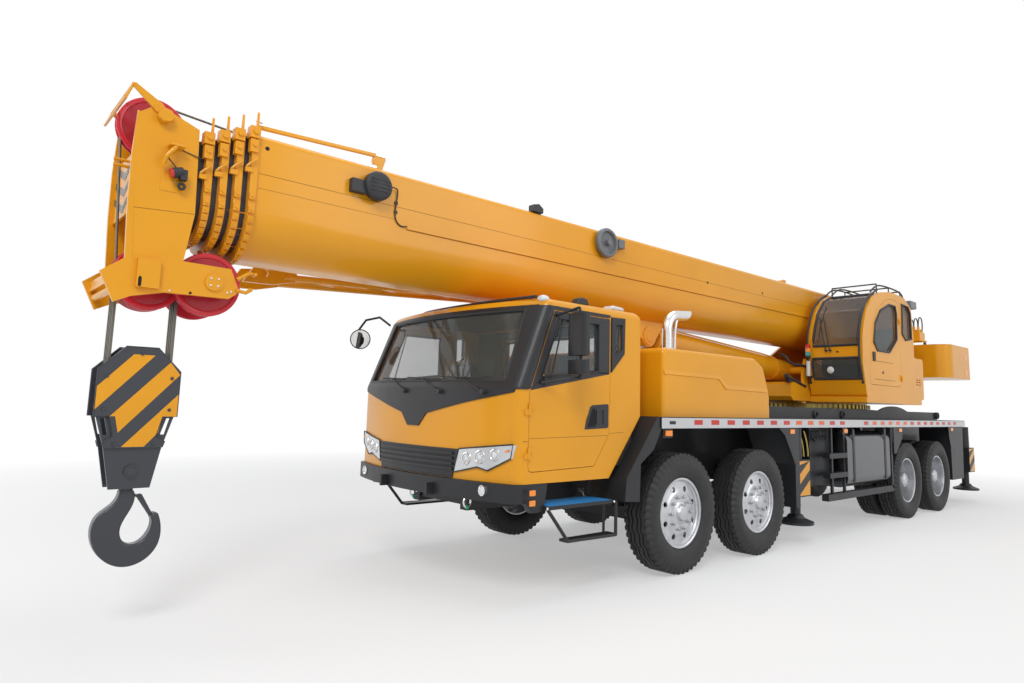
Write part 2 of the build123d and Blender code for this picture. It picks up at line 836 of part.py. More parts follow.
with BuildPart() as mirror_right:
    arm = [(-1150, -4085, 2405), (-1290, -4140, 2500), (-1430, -4230, 2470), (-1500, -4290, 2340)]
    for start, end in zip(arm, arm[1:]):
        bar(start, end, 12)
        with Locations(end):
            Sphere(12)
    bar((-1500, -4300, 2250), (-1500, -4265, 2250), 92)
    bar((-1500, -4265, 2250), (-1500, -4235, 2250), 60)
    bar((-1500, -4290, 2345), (-1500, -4282, 2300), 14)
finish(mirror_right, "mirror_right")

screen_frame = [(-1205, 1740), (1205, 1740), (1165, 2432), (-1165, 2432)]
vee = [
    (-1215, 1760),
    (1215, 1760),
    (1190, 1680),
    (700, 1590),
    (205, 1487),
    (92, 1372),
    (-92, 1372),
    (-205, 1487),
    (-700, 1590),
    (-1190, 1680),
]
grille = [(-650, 1196), (650, 1196), (592, 1008), (580, 955), (-580, 955), (-592, 1008)]
post = [(-4330, 1705), (-4200, 1705), (-4182, 1745), (-3930, 2395), (-3960, 2425), (-4100, 2425)]
quarter_frame = [(-3180, 1895), (-3000, 2075), (-2992, 2405), (-3180, 2400)]
bar_heights = (1030, 1073, 1116, 1159)
with BuildPart() as cab_trim:
    with BuildPart(mode=Mode.PRIVATE) as cutter:
        plate(Plane.XZ.offset(3700), vee, 1300)
        plate(Plane.XZ.offset(3700), screen_frame, 1300)
        plate(Plane.XZ.offset(3690), windscreen, 1320, Mode.SUBTRACT, 60)
        plate(Plane.XZ.offset(4000), grille, 1000)
        for sign in (1, -1):
            x_pair = sorted((sign * 1100, sign * (cab_half_width + 40)))
            side(post, x_pair[0], x_pair[1])
            side(quarter_frame, x_pair[0], x_pair[1])
            side(quarter_window, x_pair[0] - 1, x_pair[1] + 1, Mode.SUBTRACT, 25)
    with BuildPart(mode=Mode.PRIVATE) as bars:
        for z in bar_heights:
            block((-590, 590), (-4700, -4000), (z - 11, z + 11))
    with BuildPart(mode=Mode.PRIVATE) as bar_skin:
        add(cab_volume(-26))
        add(cab_outer, mode=Mode.SUBTRACT)
        add(bars.part, mode=Mode.INTERSECT)
    add(cab_volume(-10))
    add(cab_outer, mode=Mode.SUBTRACT)
    add(cutter.part, mode=Mode.INTERSECT)
    add(bar_skin.part)
finish(cab_trim, "cab_trim")

with BuildPart() as lamps:
    with BuildPart(mode=Mode.PRIVATE) as cutter:
        for sign in (1, -1):
            light = [
                (sign * 662, 1196),
                (sign * 1215, 1258),
                (sign * 1190, 1150),
                (sign * 965, 1045),
                (sign * 860, 1068),
                (sign * 606, 1010),
            ]
            plate(Plane.XZ.offset(4000), light, 1000)
    add(cab_volume(-14))
    add(cab_outer, mode=Mode.SUBTRACT)
    add(cutter.part, mode=Mode.INTERSECT)
finish(lamps, "lamps")

# Bumper with its tow eyes, and the two steps under each door
with BuildPart() as front_bumper:
    half = cab_half_width + 5
    sag = cab_front_arc - sqrt(cab_front_arc**2 - half**2)
    front = cab_front_y - 40
    with BuildSketch(Plane.XY.offset(800)) as band:
        with BuildLine():
            ThreePointArc((-half, front + sag), (0, front), (half, front + sag))
            Polyline((half, front + sag), (half, -4000), (-half, -4000), (-half, front + sag))
        make_face()
        fillet(band.vertices().group_by(Axis.Y)[0], cab_corner)
    extrude(amount=149)
    block((-half + 60, half - 60), (-4160, -3900), (780, 960), Mode.SUBTRACT)
    for sign in (1, -1):
        skirt = [(-4200, 945), (-3960, 945), (-4000, 735), (-4060, 722), (-4130, 722), (-4200, 805)]
        side(skirt, min(sign * 1200, sign * half), max(sign * 1200, sign * half))
        block(sorted((sign * 1000, sign * 1300)), (-4000, -3200), (738, 768))
        for y in (-3960, -3250):
            block(sorted((sign * 1020, sign * 1050)), (y, y + 40), (767, cab_low_z))
        foot = [(-3990, 752), (-3745, 470), (-3140, 462)]
        x = sign * 1285
        for start, end in zip(foot, foot[1:] + [(-3140, 752)]):
            bar((x, start[0], start[1]), (x, end[0], end[1]), 15)
        for y, z in foot[1:]:
            with Locations((x, y, z)):
                Sphere(15)
        block(sorted((sign * 1185, sign * 1285)), (-3745, -3145), (455, 478))
        bar((sign * 1195, -3200, 466), (sign * 1195, -3200, 752), 12)
        block(sorted((sign * 350, sign * 430)), (-4180, frame_front_y), (800, 900))
        block(sorted((sign * 360, sign * 390)), (-4560, -4150), (800, 900))
finish(front_bumper, "front_bumper")

dash = [(-4190, 1330), (-3990, 1330), (-3960, 1560), (-4060, 1660), (-4190, 1690)]
with BuildPart() as cab_interior:
    for sign in (1, -1):
        middle_x = sign * 620
        block((middle_x - 150, middle_x + 150), (-3560, -3280), (1000, 1181))
        with BuildSketch(Plane.XY.offset(1180)) as cushion:
            with Locations((middle_x, -3440)):
                RectangleRounded(500, 520, 90)
        extrude(cushion.sketch, amount=150)
        side(
            [(-3260, 1250), (-3160, 1250), (-3060, 1880), (-3150, 1900)],
            middle_x - 230,
            middle_x + 230,
            radius=35,
        )
        side([(-3125, 1870), (-3065, 1870), (-3035, 2080), (-3115, 2080)], middle_x - 120, middle_x + 120)
    side(dash, -1100, 1100)
    block((-150, 150), (-4180, -4000), (cab_low_z + cab_wall, 1340))
    column = Plane(origin=(620, -3900, 1640), z_dir=(0, 0.5, 0.866))
    bar((620, -4040, 1510), (620, -3905, 1632), 28)
    with BuildSketch(column) as rim:
        Circle(225)
        Circle(198, mode=Mode.SUBTRACT)
        Circle(55)
        for angle in (90, 210, 330):
            with Locations(Rotation(0, 0, angle)):
                with Locations((115, 0)):
                    Rectangle(190, 34)
    extrude(rim.sketch, amount=24)
finish(cab_interior, "cab_interior")

# Turntable: round base plate, two deep side plates to the boom foot, and the rear bridge
side_outer = side_plate_inner_x + side_plate_thickness
bridge_rear_y = boom_rear_y + 1000
with BuildPart() as turntable:
    with BuildSketch(Plane.XY.offset(slew_ring_top_z + slide_gap)) as disc:
        with Locations((0, slew_y)):
            Circle(slew_radius - 20)
    extrude(amount=turn_plate_top_z - slew_ring_top_z - slide_gap)
    web = [
        (2150, turn_plate_top_z - 1),
        (2150, base_z - 60),
        (2250, base_z + 170),
        (2650, base_z + 180),
        (boom_foot_y - 300, boom_foot_z + 170),
        (boom_foot_y + 200, boom_foot_z + 190),
        (boom_foot_y + 450, boom_foot_z - 150),
        (bridge_rear_y, boom_foot_z - 200),
        (bridge_rear_y, 2150),
        (4700, turn_plate_top_z - 1),
    ]
    for sign in (1, -1):
        x_from = min(sign * side_plate_inner_x, sign * side_outer)
        side(web, x_from, x_from + side_plate_thickness)
        block(
            sorted((sign * side_outer, sign * op_outer_x)) if sign > 0 else (-900, -side_outer),
            (2300, 4500),
            (turn_plate_top_z - 48, turn_plate_top_z),
        )
    floor_plate = [
        (2150, turn_plate_top_z + 1),
        (4700, turn_plate_top_z + 1),
        (bridge_rear_y, 2151),
        (bridge_rear_y, 2171),
        (4690, turn_plate_top_z + 21),
        (2150, turn_plate_top_z + 21),
    ]
    side(floor_plate, -side_plate_inner_x - 1, side_plate_inner_x + 1)
    front_box = [
        (1760, turn_plate_top_z - 40),
        (1700, turn_plate_top_z + 20),
        (1700, turn_plate_top_z + 200),
        (1760, turn_plate_top_z + 230),
        (2151, turn_plate_top_z + 230),
        (2400, turn_plate_top_z),
        (2400, turn_plate_top_z - 40),
    ]
    side(front_box, -side_outer - 25, side_outer + 25)
    bar((-side_outer, base_y, base_z), (side_outer, base_y, base_z), cylinder_pin_radius)
    bar(
        (-side_outer - 30, boom_foot_y, boom_foot_z),
        (side_outer + 30, boom_foot_y, boom_foot_z),
        foot_pin_radius,
    )
finish(turntable, "turntable")

with BuildPart() as counterweight:
    with BuildSketch(Plane.XY.offset(2265)) as plan:
        with Locations((0, bridge_rear_y + 535)):
            Rectangle(2700, 1230)
        fillet(plan.vertices().group_by(Axis.Y)[0], 250)
        fillet(plan.vertices().group_by(Axis.Y)[-1], 70)
    extrude(amount=605)
    block((-side_outer, side_outer), (bridge_rear_y - 150, bridge_rear_y + 1), (2000, 3000), Mode.SUBTRACT)
finish(counterweight, "counterweight")

with BuildPart() as winches:
    for y, z, radius in ((boom_rear_y + 380, 2480, 235), (boom_rear_y + 670, boom_foot_z + 40, 220)):
        turned(
            (0, y, z),
            [
                (-side_plate_inner_x, 0),
                (-side_plate_inner_x, 60),
                (-300, 60),
                (-300, radius),
                (-270, radius),
                (-270, radius - 80),
                (270, radius - 80),
                (270, radius),
                (300, radius),
                (300, 60),
                (side_plate_inner_x, 60),
                (side_plate_inner_x, 0),
            ],
        )
    for sign in (1, -1):
        side(
            [
                (boom_rear_y + 500, boom_foot_z - 210),
                (boom_rear_y + 900, boom_foot_z - 210),
                (boom_rear_y + 770, boom_foot_z + 150),
                (boom_rear_y + 570, boom_foot_z + 150),
            ],
            min(sign * side_plate_inner_x, sign * (side_plate_inner_x - 30)),
            max(sign * side_plate_inner_x, sign * (side_plate_inner_x - 30)),
        )
finish(winches, "winches")

# Operator's cab
op_profile = [
    (2320, op_floor_z),
    (2215, 2300),
    (2229, 2679),
    (2295, 2880),
    (2411, 3110),
    (2625, 3316),
    (2935, 3425),
    (3364, 3484),
    (3920, 3457),
    (4196, 3313),
    (4260, 2900),
    (4240, 2500),
    (4637, 2500),
    (4610, op_floor_z),
]
op_inner = [
    (2320 + op_wall, op_floor_z + op_wall),
    (2215 + op_wall, 2300),
    (2229 + op_wall, 2670),
    (2295 + op_wall, 2866),
    (2411 + op_wall - 4, 3090),
    (2640, 3282),
    (2945, 3390),
    (3364, 3484 - op_wall),
    (3912, 3457 - op_wall),
    (4196 - op_wall, 3292),
    (4260 - op_wall, 2900),
    (4240 - op_wall, 2500),
    (4240 - op_wall, op_floor_z + op_wall),
]
op_door = [
    (2450, 2010),
    (3650, 2010),
    (3650, 3300),
    (3520, 3370),
    (3190, 3350),
    (2780, 3150),
    (2560, 2806),
    (2480, 2425),
]
op_window = [
    (2620, 2640),
    (2700, 2930),
    (2910, 3140),
    (3270, 3270),
    (3500, 3270),
    (3540, 3156),
    (3520, 2747),
    (3203, 2524),
    (2742, 2522),
]
op_rear_window = [(3760, 2853), (3793, 3340), (4060, 3320), (4140, 3226), (4150, 2800), (3892, 2767)]
op_front = [(600, 2575), (1255, 2575), (1255, 3395), (600, 3395)]
op_front_low = [(585, 2085), (1265, 2085), (1265, 2385), (585, 2385)]
with BuildPart() as operator_cab:
    side(op_profile, op_inner_x, op_outer_x, radius=60)
    side(op_inner, op_inner_x + op_wall, op_outer_x - op_wall, Mode.SUBTRACT, 50)
    with BuildSketch(Plane.YZ.offset(op_outer_x - op_wall - 1)) as opening:
        Polygon(*op_door, align=None)
        fillet(opening.vertices(), 70)
        offset(amount=panel_gap)
    extrude(opening.sketch, amount=op_wall + 2, mode=Mode.SUBTRACT)
    side(op_rear_window, op_outer_x - op_wall - 1, op_outer_x + 1, Mode.SUBTRACT, 45)
    plate(Plane.XZ.offset(-3050), op_front, 1000, Mode.SUBTRACT, 60)
    plate(Plane.XZ.offset(-2400), op_front_low, 300, Mode.SUBTRACT, 50)
    for z in (2070, 2110, 2150):
        for y in (4290, 4410):
            block((op_outer_x - op_wall - 1, op_outer_x + 1), (y, y + 80), (z - 8, z + 8), Mode.SUBTRACT)
    block((op_inner_x, op_outer_x), (2300, 4500), (turn_plate_top_z, op_floor_z + 1))
    hinge_lugs(op_outer_x + hinge_out, 3655, (2100, 3000), 1)
finish(operator_cab, "operator_cab")

with BuildPart() as operator_door:
    side(op_door, op_outer_x - op_wall, op_outer_x, radius=70)
    side(op_window, op_outer_x - op_wall - 1, op_outer_x + 1, Mode.SUBTRACT, 55)
    hinge_lugs(op_outer_x + hinge_out, 3655, (2100, 3000), -1, hinge_lug + slide_gap)
finish(operator_door, "operator_door")
with BuildPart() as operator_door_glass:
    side(op_window, op_outer_x - 20, op_outer_x - 14, radius=55)
finish(operator_door_glass, "operator_door_glass")
with BuildPart() as operator_glass:
    side(op_rear_window, op_outer_x - 20, op_outer_x - 14, radius=45)
    with BuildPart(mode=Mode.PRIVATE) as cutter:
        plate(Plane.XZ.offset(-3050), op_front, 1000, radius=60)
        plate(Plane.XZ.offset(-2400), op_front_low, 300, radius=50)
    with BuildPart(mode=Mode.PRIVATE) as skin:
        side(op_profile, op_inner_x, op_outer_x, radius=60)
        side([(y + 8, z) for y, z in op_profile], op_inner_x, op_outer_x, Mode.SUBTRACT, 60)
        add(cutter.part, mode=Mode.INTERSECT)
    add(skin.part)
finish(operator_glass, "operator_glass")
with BuildPart() as operator_interior:
    block((790, 1030), (3380, 3640), (op_floor_z + op_wall, 2161))
    block((680, 1140), (3230, 3760), (2160, 2300))
    side([(3700, 2290), (3820, 2290), (3930, 2950), (3830, 2960)], 700, 1120)
    for x in (600, 1180):
        block((x - 50, x + 50), (3250, 3650), (op_floor_z + op_wall, 2420))
        bar((x, 3320, 2410), (x, 3290, 2560), 14)
    side([(2420, op_floor_z + op_wall), (2620, op_floor_z + op_wall), (2560, 2330), (2440, 2380)], 620, 1200)
finish(operator_interior, "operator_interior")


# Boom sections: box tubes with a rounded belly, each with a collar that guides the next
def boom_outline(index, grow=0.0):
    """The section's outline on an X-Z plane, as a face."""
    half = boom_half[index] + grow
    top = boom_top[index] + grow
    low = boom_low[index] - grow
    with BuildSketch(Plane.XZ) as shape:
        with Locations((0, (top + low) / 2)):
            Rectangle(2 * half, top - low)
        fillet(shape.vertices().group_by(Axis.Y)[0], 0.8 * half)
        fillet(shape.vertices().group_by(Axis.Y)[-1], 45)
    return shape.sketch


def boom_tube(index, front, rear):
    """Hollow tube of a section between two places along Y."""
    length = rear - front
    extrude(boom_outline(index).moved(Location((0, rear, 0))), amount=length)
    extrude(
        boom_outline(index, -boom_skin).moved(Location((0, rear + 1, 0))),
        amount=length + 2,
        mode=Mode.SUBTRACT,
    )


def boom_collar(index, front):
    """Collar at the front of a section, bored for the next section."""
    extrude(
        boom_outline(index, 22).moved(Location((0, front + collar_depth, 0))), amount=collar_depth
    )
    extrude(
        boom_outline(index + 1, slide_gap).moved(Location((0, front + collar_depth + 1, 0))),
        amount=collar_depth + 2,
        mode=Mode.SUBTRACT,
    )


for index in range(4):
    front = collar_front_y[index]
    rear = boom_rear_y if index == 0 else front + section_length
    with BuildPart() as section:
        boom_tube(index, front + collar_depth - 1, rear)
        boom_collar(index, front)
        if index == 0:
            bar((-450, boom_foot_y, boom_foot_z), (450, boom_foot_y, boom_foot_z), 120)
            block((-460, 460), (boom_rear_y - 12, boom_rear_y + 400), (2500, 3700), Mode.SUBTRACT)
            for x_pair in ((-460, -420), (420, 460)):
                block(x_pair, (boom_foot_y - 550, boom_foot_y + 450), (2500, 3700), Mode.SUBTRACT)
            bar(
                (-460, boom_foot_y, boom_foot_z),
                (460, boom_foot_y, boom_foot_z),
                foot_pin_radius + shaft_gap,
                Mode.SUBTRACT,
            )
            for sign in (1, -1):
                x_pair = sorted((sign * 145, sign * 185))
                cheek = [
                    (eye_y - 650, boom_low[0] + bracket_rise),
                    (eye_y - 110, eye_z - 60),
                    (eye_y + 110, eye_z - 60),
                    (eye_y + 330, boom_low[0] + bracket_rise),
                ]
                side(cheek, x_pair[0], x_pair[1])
                bar((x_pair[0], eye_y, eye_z), (x_pair[1], eye_y, eye_z), 135)
    name = "boom_base" if index == 0 else f"boom_{index + 1}"
    finish(section, name)

nose_outline = [
    (-7096, 2370),
    (-6970, 2470),
    (-6750, 2510),
    (-6284, 2500),
    (-6213, 2340),
    (-6284, 2282),
    (-6704, 2275),
    (-6905, 2227),
    (-7005, 2176),
]
cheek_outline = [
    (-6958, 3488),
    (-6854, 3572),
    (-6578, 3466),
    (head_rear_y, 2850),
    (-6610, 2490),
    (-6915, 2440),
    (-6952, 2941),
]
head_outer_x = head_inner_x + head_plate
head_back_y = head_rear_y - 30
with BuildPart() as boom_5:
    boom_tube(4, head_back_y + 1, collar_front_y[3] + section_length)
    for sign in (1, -1):
        x_pair = sorted((sign * head_inner_x, sign * head_outer_x))
        side(cheek_outline, x_pair[0], x_pair[1])
        side(nose_outline, x_pair[0], x_pair[1])
        block(sorted((sign * (head_outer_x - 1), sign * (head_outer_x + 32))), (-6890, -6750), (2290, 2485))
        bar(
            (sign * (head_outer_x - 1), sheave_b_y, sheave_b_z),
            (sign * (head_outer_x + 14), sheave_b_y, sheave_b_z),
            62,
        )
        bar(
            (sign * (head_outer_x - 1), top_sheave_y, top_sheave_z),
            (sign * (head_outer_x + 40), top_sheave_y, top_sheave_z),
            44,
        )
    block((-head_inner_x - 1, head_inner_x + 1), (head_back_y, head_back_y + 16), (2790, 3385))
    block((-head_inner_x - 1, head_inner_x + 1), (-6950, -6932), (2810, 3240))
    block((-head_inner_x - 1, head_inner_x + 1), (-7048, -7036), (2300, 2370))
    bar((-head_inner_x - 1, -7010, 2262), (head_inner_x + 1, -7010, 2262), 25)
finish(boom_5, "boom_5")


def sheave_profile(width):
    half = width / 2
    groove = rope_pitch_radius - rope_radius - slide_gap
    return [
        (-half, 0),
        (-half, sheave_radius),
        (-half + 5, sheave_radius),
        (-rope_radius - 2, groove),
        (rope_radius + 2, groove),
        (half - 5, sheave_radius),
        (half, sheave_radius),
        (half, 0),
    ]


with BuildPart() as head_sheaves:
    for x in fall_x:
        turned((x, sheave_a_y, sheave_a_z), sheave_profile(42))
    bar((-head_inner_x, sheave_a_y, sheave_a_z), (head_inner_x, sheave_a_y, sheave_a_z), 45)
    turned((0, top_sheave_y, top_sheave_z), sheave_profile(50))
    bar((-head_inner_x, top_sheave_y, top_sheave_z), (head_inner_x, top_sheave_y, top_sheave_z), 30)
    for sign in (1, -1):
        turned((sign * 155, sheave_b_y, sheave_b_z), sheave_profile(46))
        bar((sign * 155, sheave_b_y, sheave_b_z), (sign * head_inner_x, sheave_b_y, sheave_b_z), 45)
finish(head_sheaves, "head_sheaves")

# Hook block: ropes, striped cheeks, sheaves, and the swivelling hook
block_sheave_z = 1640.0
with BuildPart() as hoist_ropes:
    for x in fall_x:
        path_plane = Plane(origin=(x, sheave_a_y, 0), x_dir=(0, 1, 0), z_dir=(1, 0, 0))
        with BuildSketch(path_plane.offset(-rope_radius)) as loop:
            with Locations((0, (sheave_a_z + block_sheave_z) / 2)):
                SlotCenterToCenter(sheave_a_z - block_sheave_z, 2 * (rope_pitch_radius + rope_radius), rotation=90)
                SlotCenterToCenter(
                    sheave_a_z - block_sheave_z,
                    2 * (rope_pitch_radius - rope_radius),
                    rotation=90,
                    mode=Mode.SUBTRACT,
                )
        extrude(loop.sketch, amount=2 * rope_radius)
finish(hoist_ropes, "hoist_ropes")

block_y = sheave_a_y
half_plate = [
    (100, 1908),
    (255, 1748),
    (255, 1433),
    (163, 1433),
    (130, 1300),
    (190, 1262),
    (180, 1226),
]
half_body = [(120, 1400), (200, 1440), (240, 1440), (178, 1228), (125, 951)]
body_window = [(186, 1422), (214, 1422), (187, 1310), (160, 1310)]


def both_ways(outline):
    """A half outline of (distance from the block's middle, height) and its mirror image."""
    there = [(block_y + y, z) for y, z in outline]
    return there + [(block_y - y, z) for y, z in reversed(outline)]


with BuildPart() as hook_block:
    for sign in (1, -1):
        x_pair = sorted((sign * 88, sign * 104))
        side(both_ways(half_plate), x_pair[0], x_pair[1])
        x_pair = sorted((sign * 73, sign * 88.5))
        side(both_ways(half_body), x_pair[0], x_pair[1])
        for way in (1, -1):
            hole = [(block_y + way * y, z) for y, z in body_window]
            side(hole, x_pair[0] - 1, x_pair[1] + 1, Mode.SUBTRACT)
        bar((sign * 72, block_y, 1068), (sign * 104, block_y, 1068), 42)
    for x in fall_x:
        turned((x, block_y, block_sheave_z), sheave_profile(42))
    bar((-100, block_y, block_sheave_z), (100, block_y, block_sheave_z), 50)
    block((-88.5, 88.5), (block_y - 95, block_y + 95), (1880, 1896))
    with BuildSketch(Plane.XY.offset(1000)) as head:
        with Locations((0, block_y)):
            Rectangle(147, 170)
            Circle(44 + shaft_gap, mode=Mode.SUBTRACT)
    extrude(head.sketch, amount=125)
finish(hook_block, "hook_block")

hook_back = [
    (-44, 930),
    (-85, 841),
    (-160, 775),
    (-188, 649),
    (-125, 508),
    (9, 429),
    (134, 452),
    (222, 552),
    (236, 650),
    (214, 752),
]
hook_tip = [(214, 752), (188, 774), (162, 745)]
hook_bowl = [(162, 745), (149, 630), (73, 574), (5, 600), (-18, 673), (14, 765), (44, 930)]
with BuildPart() as hook:
    with BuildSketch(Plane.YZ) as body:
        with BuildLine():
            for run in (hook_back, hook_bowl):
                Spline(*[(block_y + y, z) for y, z in run])
            ThreePointArc(*[(block_y + y, z) for y, z in hook_tip])
            Line((block_y + 44, 930), (block_y - 44, 930))
        make_face()
    extrude(body.sketch, amount=46, both=True)
    rims = hook.edges().filter_by(lambda edge: abs(abs(edge.center().X) - 46) < 0.01)
    fillet(rims.filter_by(lambda edge: edge.center().Z < 925), 16)
    bar((0, block_y, 900), (0, block_y, 1127), 44)
    bar((0, block_y, 1126), (0, block_y, 1185), 66)
finish(hook, "hook")

# Luffing cylinder, lying between its foot on the turntable and the eye under the boom
run_y = eye_y - base_y
run_z = eye_z - base_z
length = hypot(run_y, run_z)
unit_y = run_y / length
unit_z = run_z / length


def on_cylinder(distance):
    """A point on the cylinder's centre line, measured from its foot pin."""
    return (0, base_y + unit_y * distance, base_z + unit_z * distance)


barrel_length = length - 380.0
with BuildPart() as lift_barrel:
    bar(on_cylinder(80), on_cylinder(barrel_length), barrel_radius)
    bar((-140, base_y, base_z), (140, base_y, base_z), cylinder_eye_radius)
    bar(on_cylinder(180), on_cylinder(barrel_length + 1), rod_radius + shaft_gap, Mode.SUBTRACT)
    bar(
        (-141, base_y, base_z),
        (141, base_y, base_z),
        cylinder_pin_radius + shaft_gap,
        Mode.SUBTRACT,
    )
finish(lift_barrel, "lift_barrel")
with BuildPart() as lift_rod:
    bar(on_cylinder(220), on_cylinder(length - 40), rod_radius)
    bar((-140, eye_y, eye_z), (140, eye_y, eye_z), cylinder_eye_radius)
    bar((-143, eye_y, eye_z), (143, eye_y, eye_z), cylinder_pin_radius)
finish(lift_rod, "lift_rod")

# Lattice jib, stowed along the right of the boom and rising slightly towards the rear
jib_front_y = -5550.0
jib_rear_y = 2900.0
jib_bays = 12
jib_height = 600.0
jib_inner_x = -560.0
jib_outer_x = -960.0


def jib_low(y):
    return 2655 + 0.053 * (y - jib_front_y)


def jib_corners(y):
    low = jib_low(y)
    return {(x, z): (x, y, low + z) for x in (jib_inner_x, jib_outer_x) for z in (0, jib_height)}


with BuildPart() as jib:
    front = jib_corners(jib_front_y)
    rear = jib_corners(jib_rear_y)
    for key in front:
        bar(front[key], rear[key], 32, sides=8)
    step = (jib_rear_y - jib_front_y) / jib_bays
    for index in range(jib_bays):
        here = jib_corners(jib_front_y + index * step)
        beyond = jib_corners(jib_front_y + (index + 1) * step)
        for x in (jib_inner_x, jib_outer_x):
            bar(here[(x, 0)], beyond[(x, jib_height)], 17, sides=4)
        for z in (0, jib_height):
            bar(here[(jib_inner_x, z)], beyond[(jib_outer_x, z)], 17, sides=4)
    for frame in (front, rear):
        for x in (jib_inner_x, jib_outer_x):
            bar(frame[(x, 0)], frame[(x, jib_height)], 30, sides=4)
        for z in (0, jib_height):
            bar(frame[(jib_inner_x, z)], frame[(jib_outer_x, z)], 30, sides=4)
    foot = [(-5900, 2570), (-5790, 2750), (-5520, 2790), (-5430, 2700), (-5440, 2625), (-5640, 2575)]
    for x in (jib_inner_x, jib_outer_x):
        side(foot, x - 20, x + 20)
        bar((x - 21, -5720, 2670), (x + 21, -5720, 2670), 36, Mode.SUBTRACT)
    for y in (-4100, 1150):
        top = jib_low(y) + jib_height
        block((jib_inner_x - 10, -boom_half[0]), (y - 60, y + 60), (top - 45, top + 30))
finish(jib, "jib")
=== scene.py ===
"""Looks of the truck crane: finishes, tyres with tread, trim, cables and the studio."""

import json
from math import cos, pi, radians, sin, sqrt, tau

import bmesh
import bpy
from mathutils import Matrix, Vector


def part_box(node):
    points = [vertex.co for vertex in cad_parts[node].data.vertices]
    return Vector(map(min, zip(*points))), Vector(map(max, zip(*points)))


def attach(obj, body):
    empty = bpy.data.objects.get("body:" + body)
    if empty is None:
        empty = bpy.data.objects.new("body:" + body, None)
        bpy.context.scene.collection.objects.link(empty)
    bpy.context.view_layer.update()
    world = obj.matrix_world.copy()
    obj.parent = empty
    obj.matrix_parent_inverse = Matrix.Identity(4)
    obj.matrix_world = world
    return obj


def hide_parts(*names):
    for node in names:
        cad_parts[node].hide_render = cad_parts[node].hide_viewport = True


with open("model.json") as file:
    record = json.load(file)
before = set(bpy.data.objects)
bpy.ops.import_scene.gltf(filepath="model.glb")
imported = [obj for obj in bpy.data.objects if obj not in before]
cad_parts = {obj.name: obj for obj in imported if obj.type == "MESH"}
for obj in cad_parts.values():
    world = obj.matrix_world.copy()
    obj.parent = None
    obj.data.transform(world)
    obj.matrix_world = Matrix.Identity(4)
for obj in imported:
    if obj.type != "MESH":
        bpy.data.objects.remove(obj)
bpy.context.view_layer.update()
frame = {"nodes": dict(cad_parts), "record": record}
nodes = frame["nodes"]

# Camera, fitted to the photograph: metres, degrees, and pixels of the 1024 x 683 frame
IMAGE = (1024, 683)
FOCAL_PX = 679.4
CENTRE_PX = (524.1, 316.6)
EYE = Vector((5.356, -7.913, 1.579))
AZIMUTH = 48.34
PITCH = 7.41
ROLL = 1.48


def add_camera():
    azimuth = radians(AZIMUTH)
    pitch = radians(PITCH)
    roll = radians(ROLL)
    level = Vector((-sin(azimuth), cos(azimuth), 0))
    right = Vector((cos(azimuth), sin(azimuth), 0))
    up = Vector((0, 0, 1))
    forward = level * cos(pitch) + up * sin(pitch)
    lifted = up * cos(pitch) - level * sin(pitch)
    across = right * cos(roll) + lifted * sin(roll)
    upward = lifted * cos(roll) - right * sin(roll)
    turn = Matrix((across, upward, -forward)).transposed().to_4x4()
    data = bpy.data.cameras.new("camera")
    data.sensor_width = 36.0
    data.lens = FOCAL_PX / IMAGE[0] * data.sensor_width
    data.shift_x = 0.5 - CENTRE_PX[0] / IMAGE[0]
    data.shift_y = (CENTRE_PX[1] - IMAGE[1] / 2) / IMAGE[0]
    data.clip_end = 200
    camera = bpy.data.objects.new("camera", data)
    camera.matrix_world = Matrix.Translation(EYE) @ turn
    bpy.context.scene.collection.objects.link(camera)
    bpy.context.scene.camera = camera


# Node helpers for materials
def new_material(name):
    material = bpy.data.materials.new(name)
    material.use_nodes = True
    tree = material.node_tree
    tree.nodes.clear()
    out = tree.nodes.new("ShaderNodeOutputMaterial")
    shader = tree.nodes.new("ShaderNodeBsdfPrincipled")
    tree.links.new(shader.outputs[0], out.inputs[0])
    return material, tree, shader


def place(tree):
    return tree.nodes.new("ShaderNodeTexCoord").outputs["Object"]


def noise(tree, scale, detail=3.0, where=None):
    node = tree.nodes.new("ShaderNodeTexNoise")
    node.inputs["Scale"].default_value = scale
    node.inputs["Detail"].default_value = detail
    tree.links.new(where if where is not None else place(tree), node.inputs["Vector"])
    return node.outputs["Fac"]


def ramp(tree, value, stops):
    node = tree.nodes.new("ShaderNodeValToRGB")
    while len(node.color_ramp.elements) < len(stops):
        node.color_ramp.elements.new(0.5)
    for element, (position, colour) in zip(node.color_ramp.elements, stops):
        element.position = position
        element.color = (*colour, 1)
    tree.links.new(value, node.inputs[0])
    return node.outputs[0]


def span(tree, value, low, high):
    """A noise value mapped to a narrow range, for roughness."""
    node = tree.nodes.new("ShaderNodeMapRange")
    node.inputs["To Min"].default_value = low
    node.inputs["To Max"].default_value = high
    tree.links.new(value, node.inputs[0])
    return node.outputs[0]


def bump(tree, shader, height, strength, distance=0.002):
    node = tree.nodes.new("ShaderNodeBump")
    node.inputs["Strength"].default_value = strength
    node.inputs["Distance"].default_value = distance
    tree.links.new(height, node.inputs["Height"])
    tree.links.new(node.outputs[0], shader.inputs["Normal"])


def shade(colour, factor):
    return tuple(min(1.0, c * factor) for c in colour)


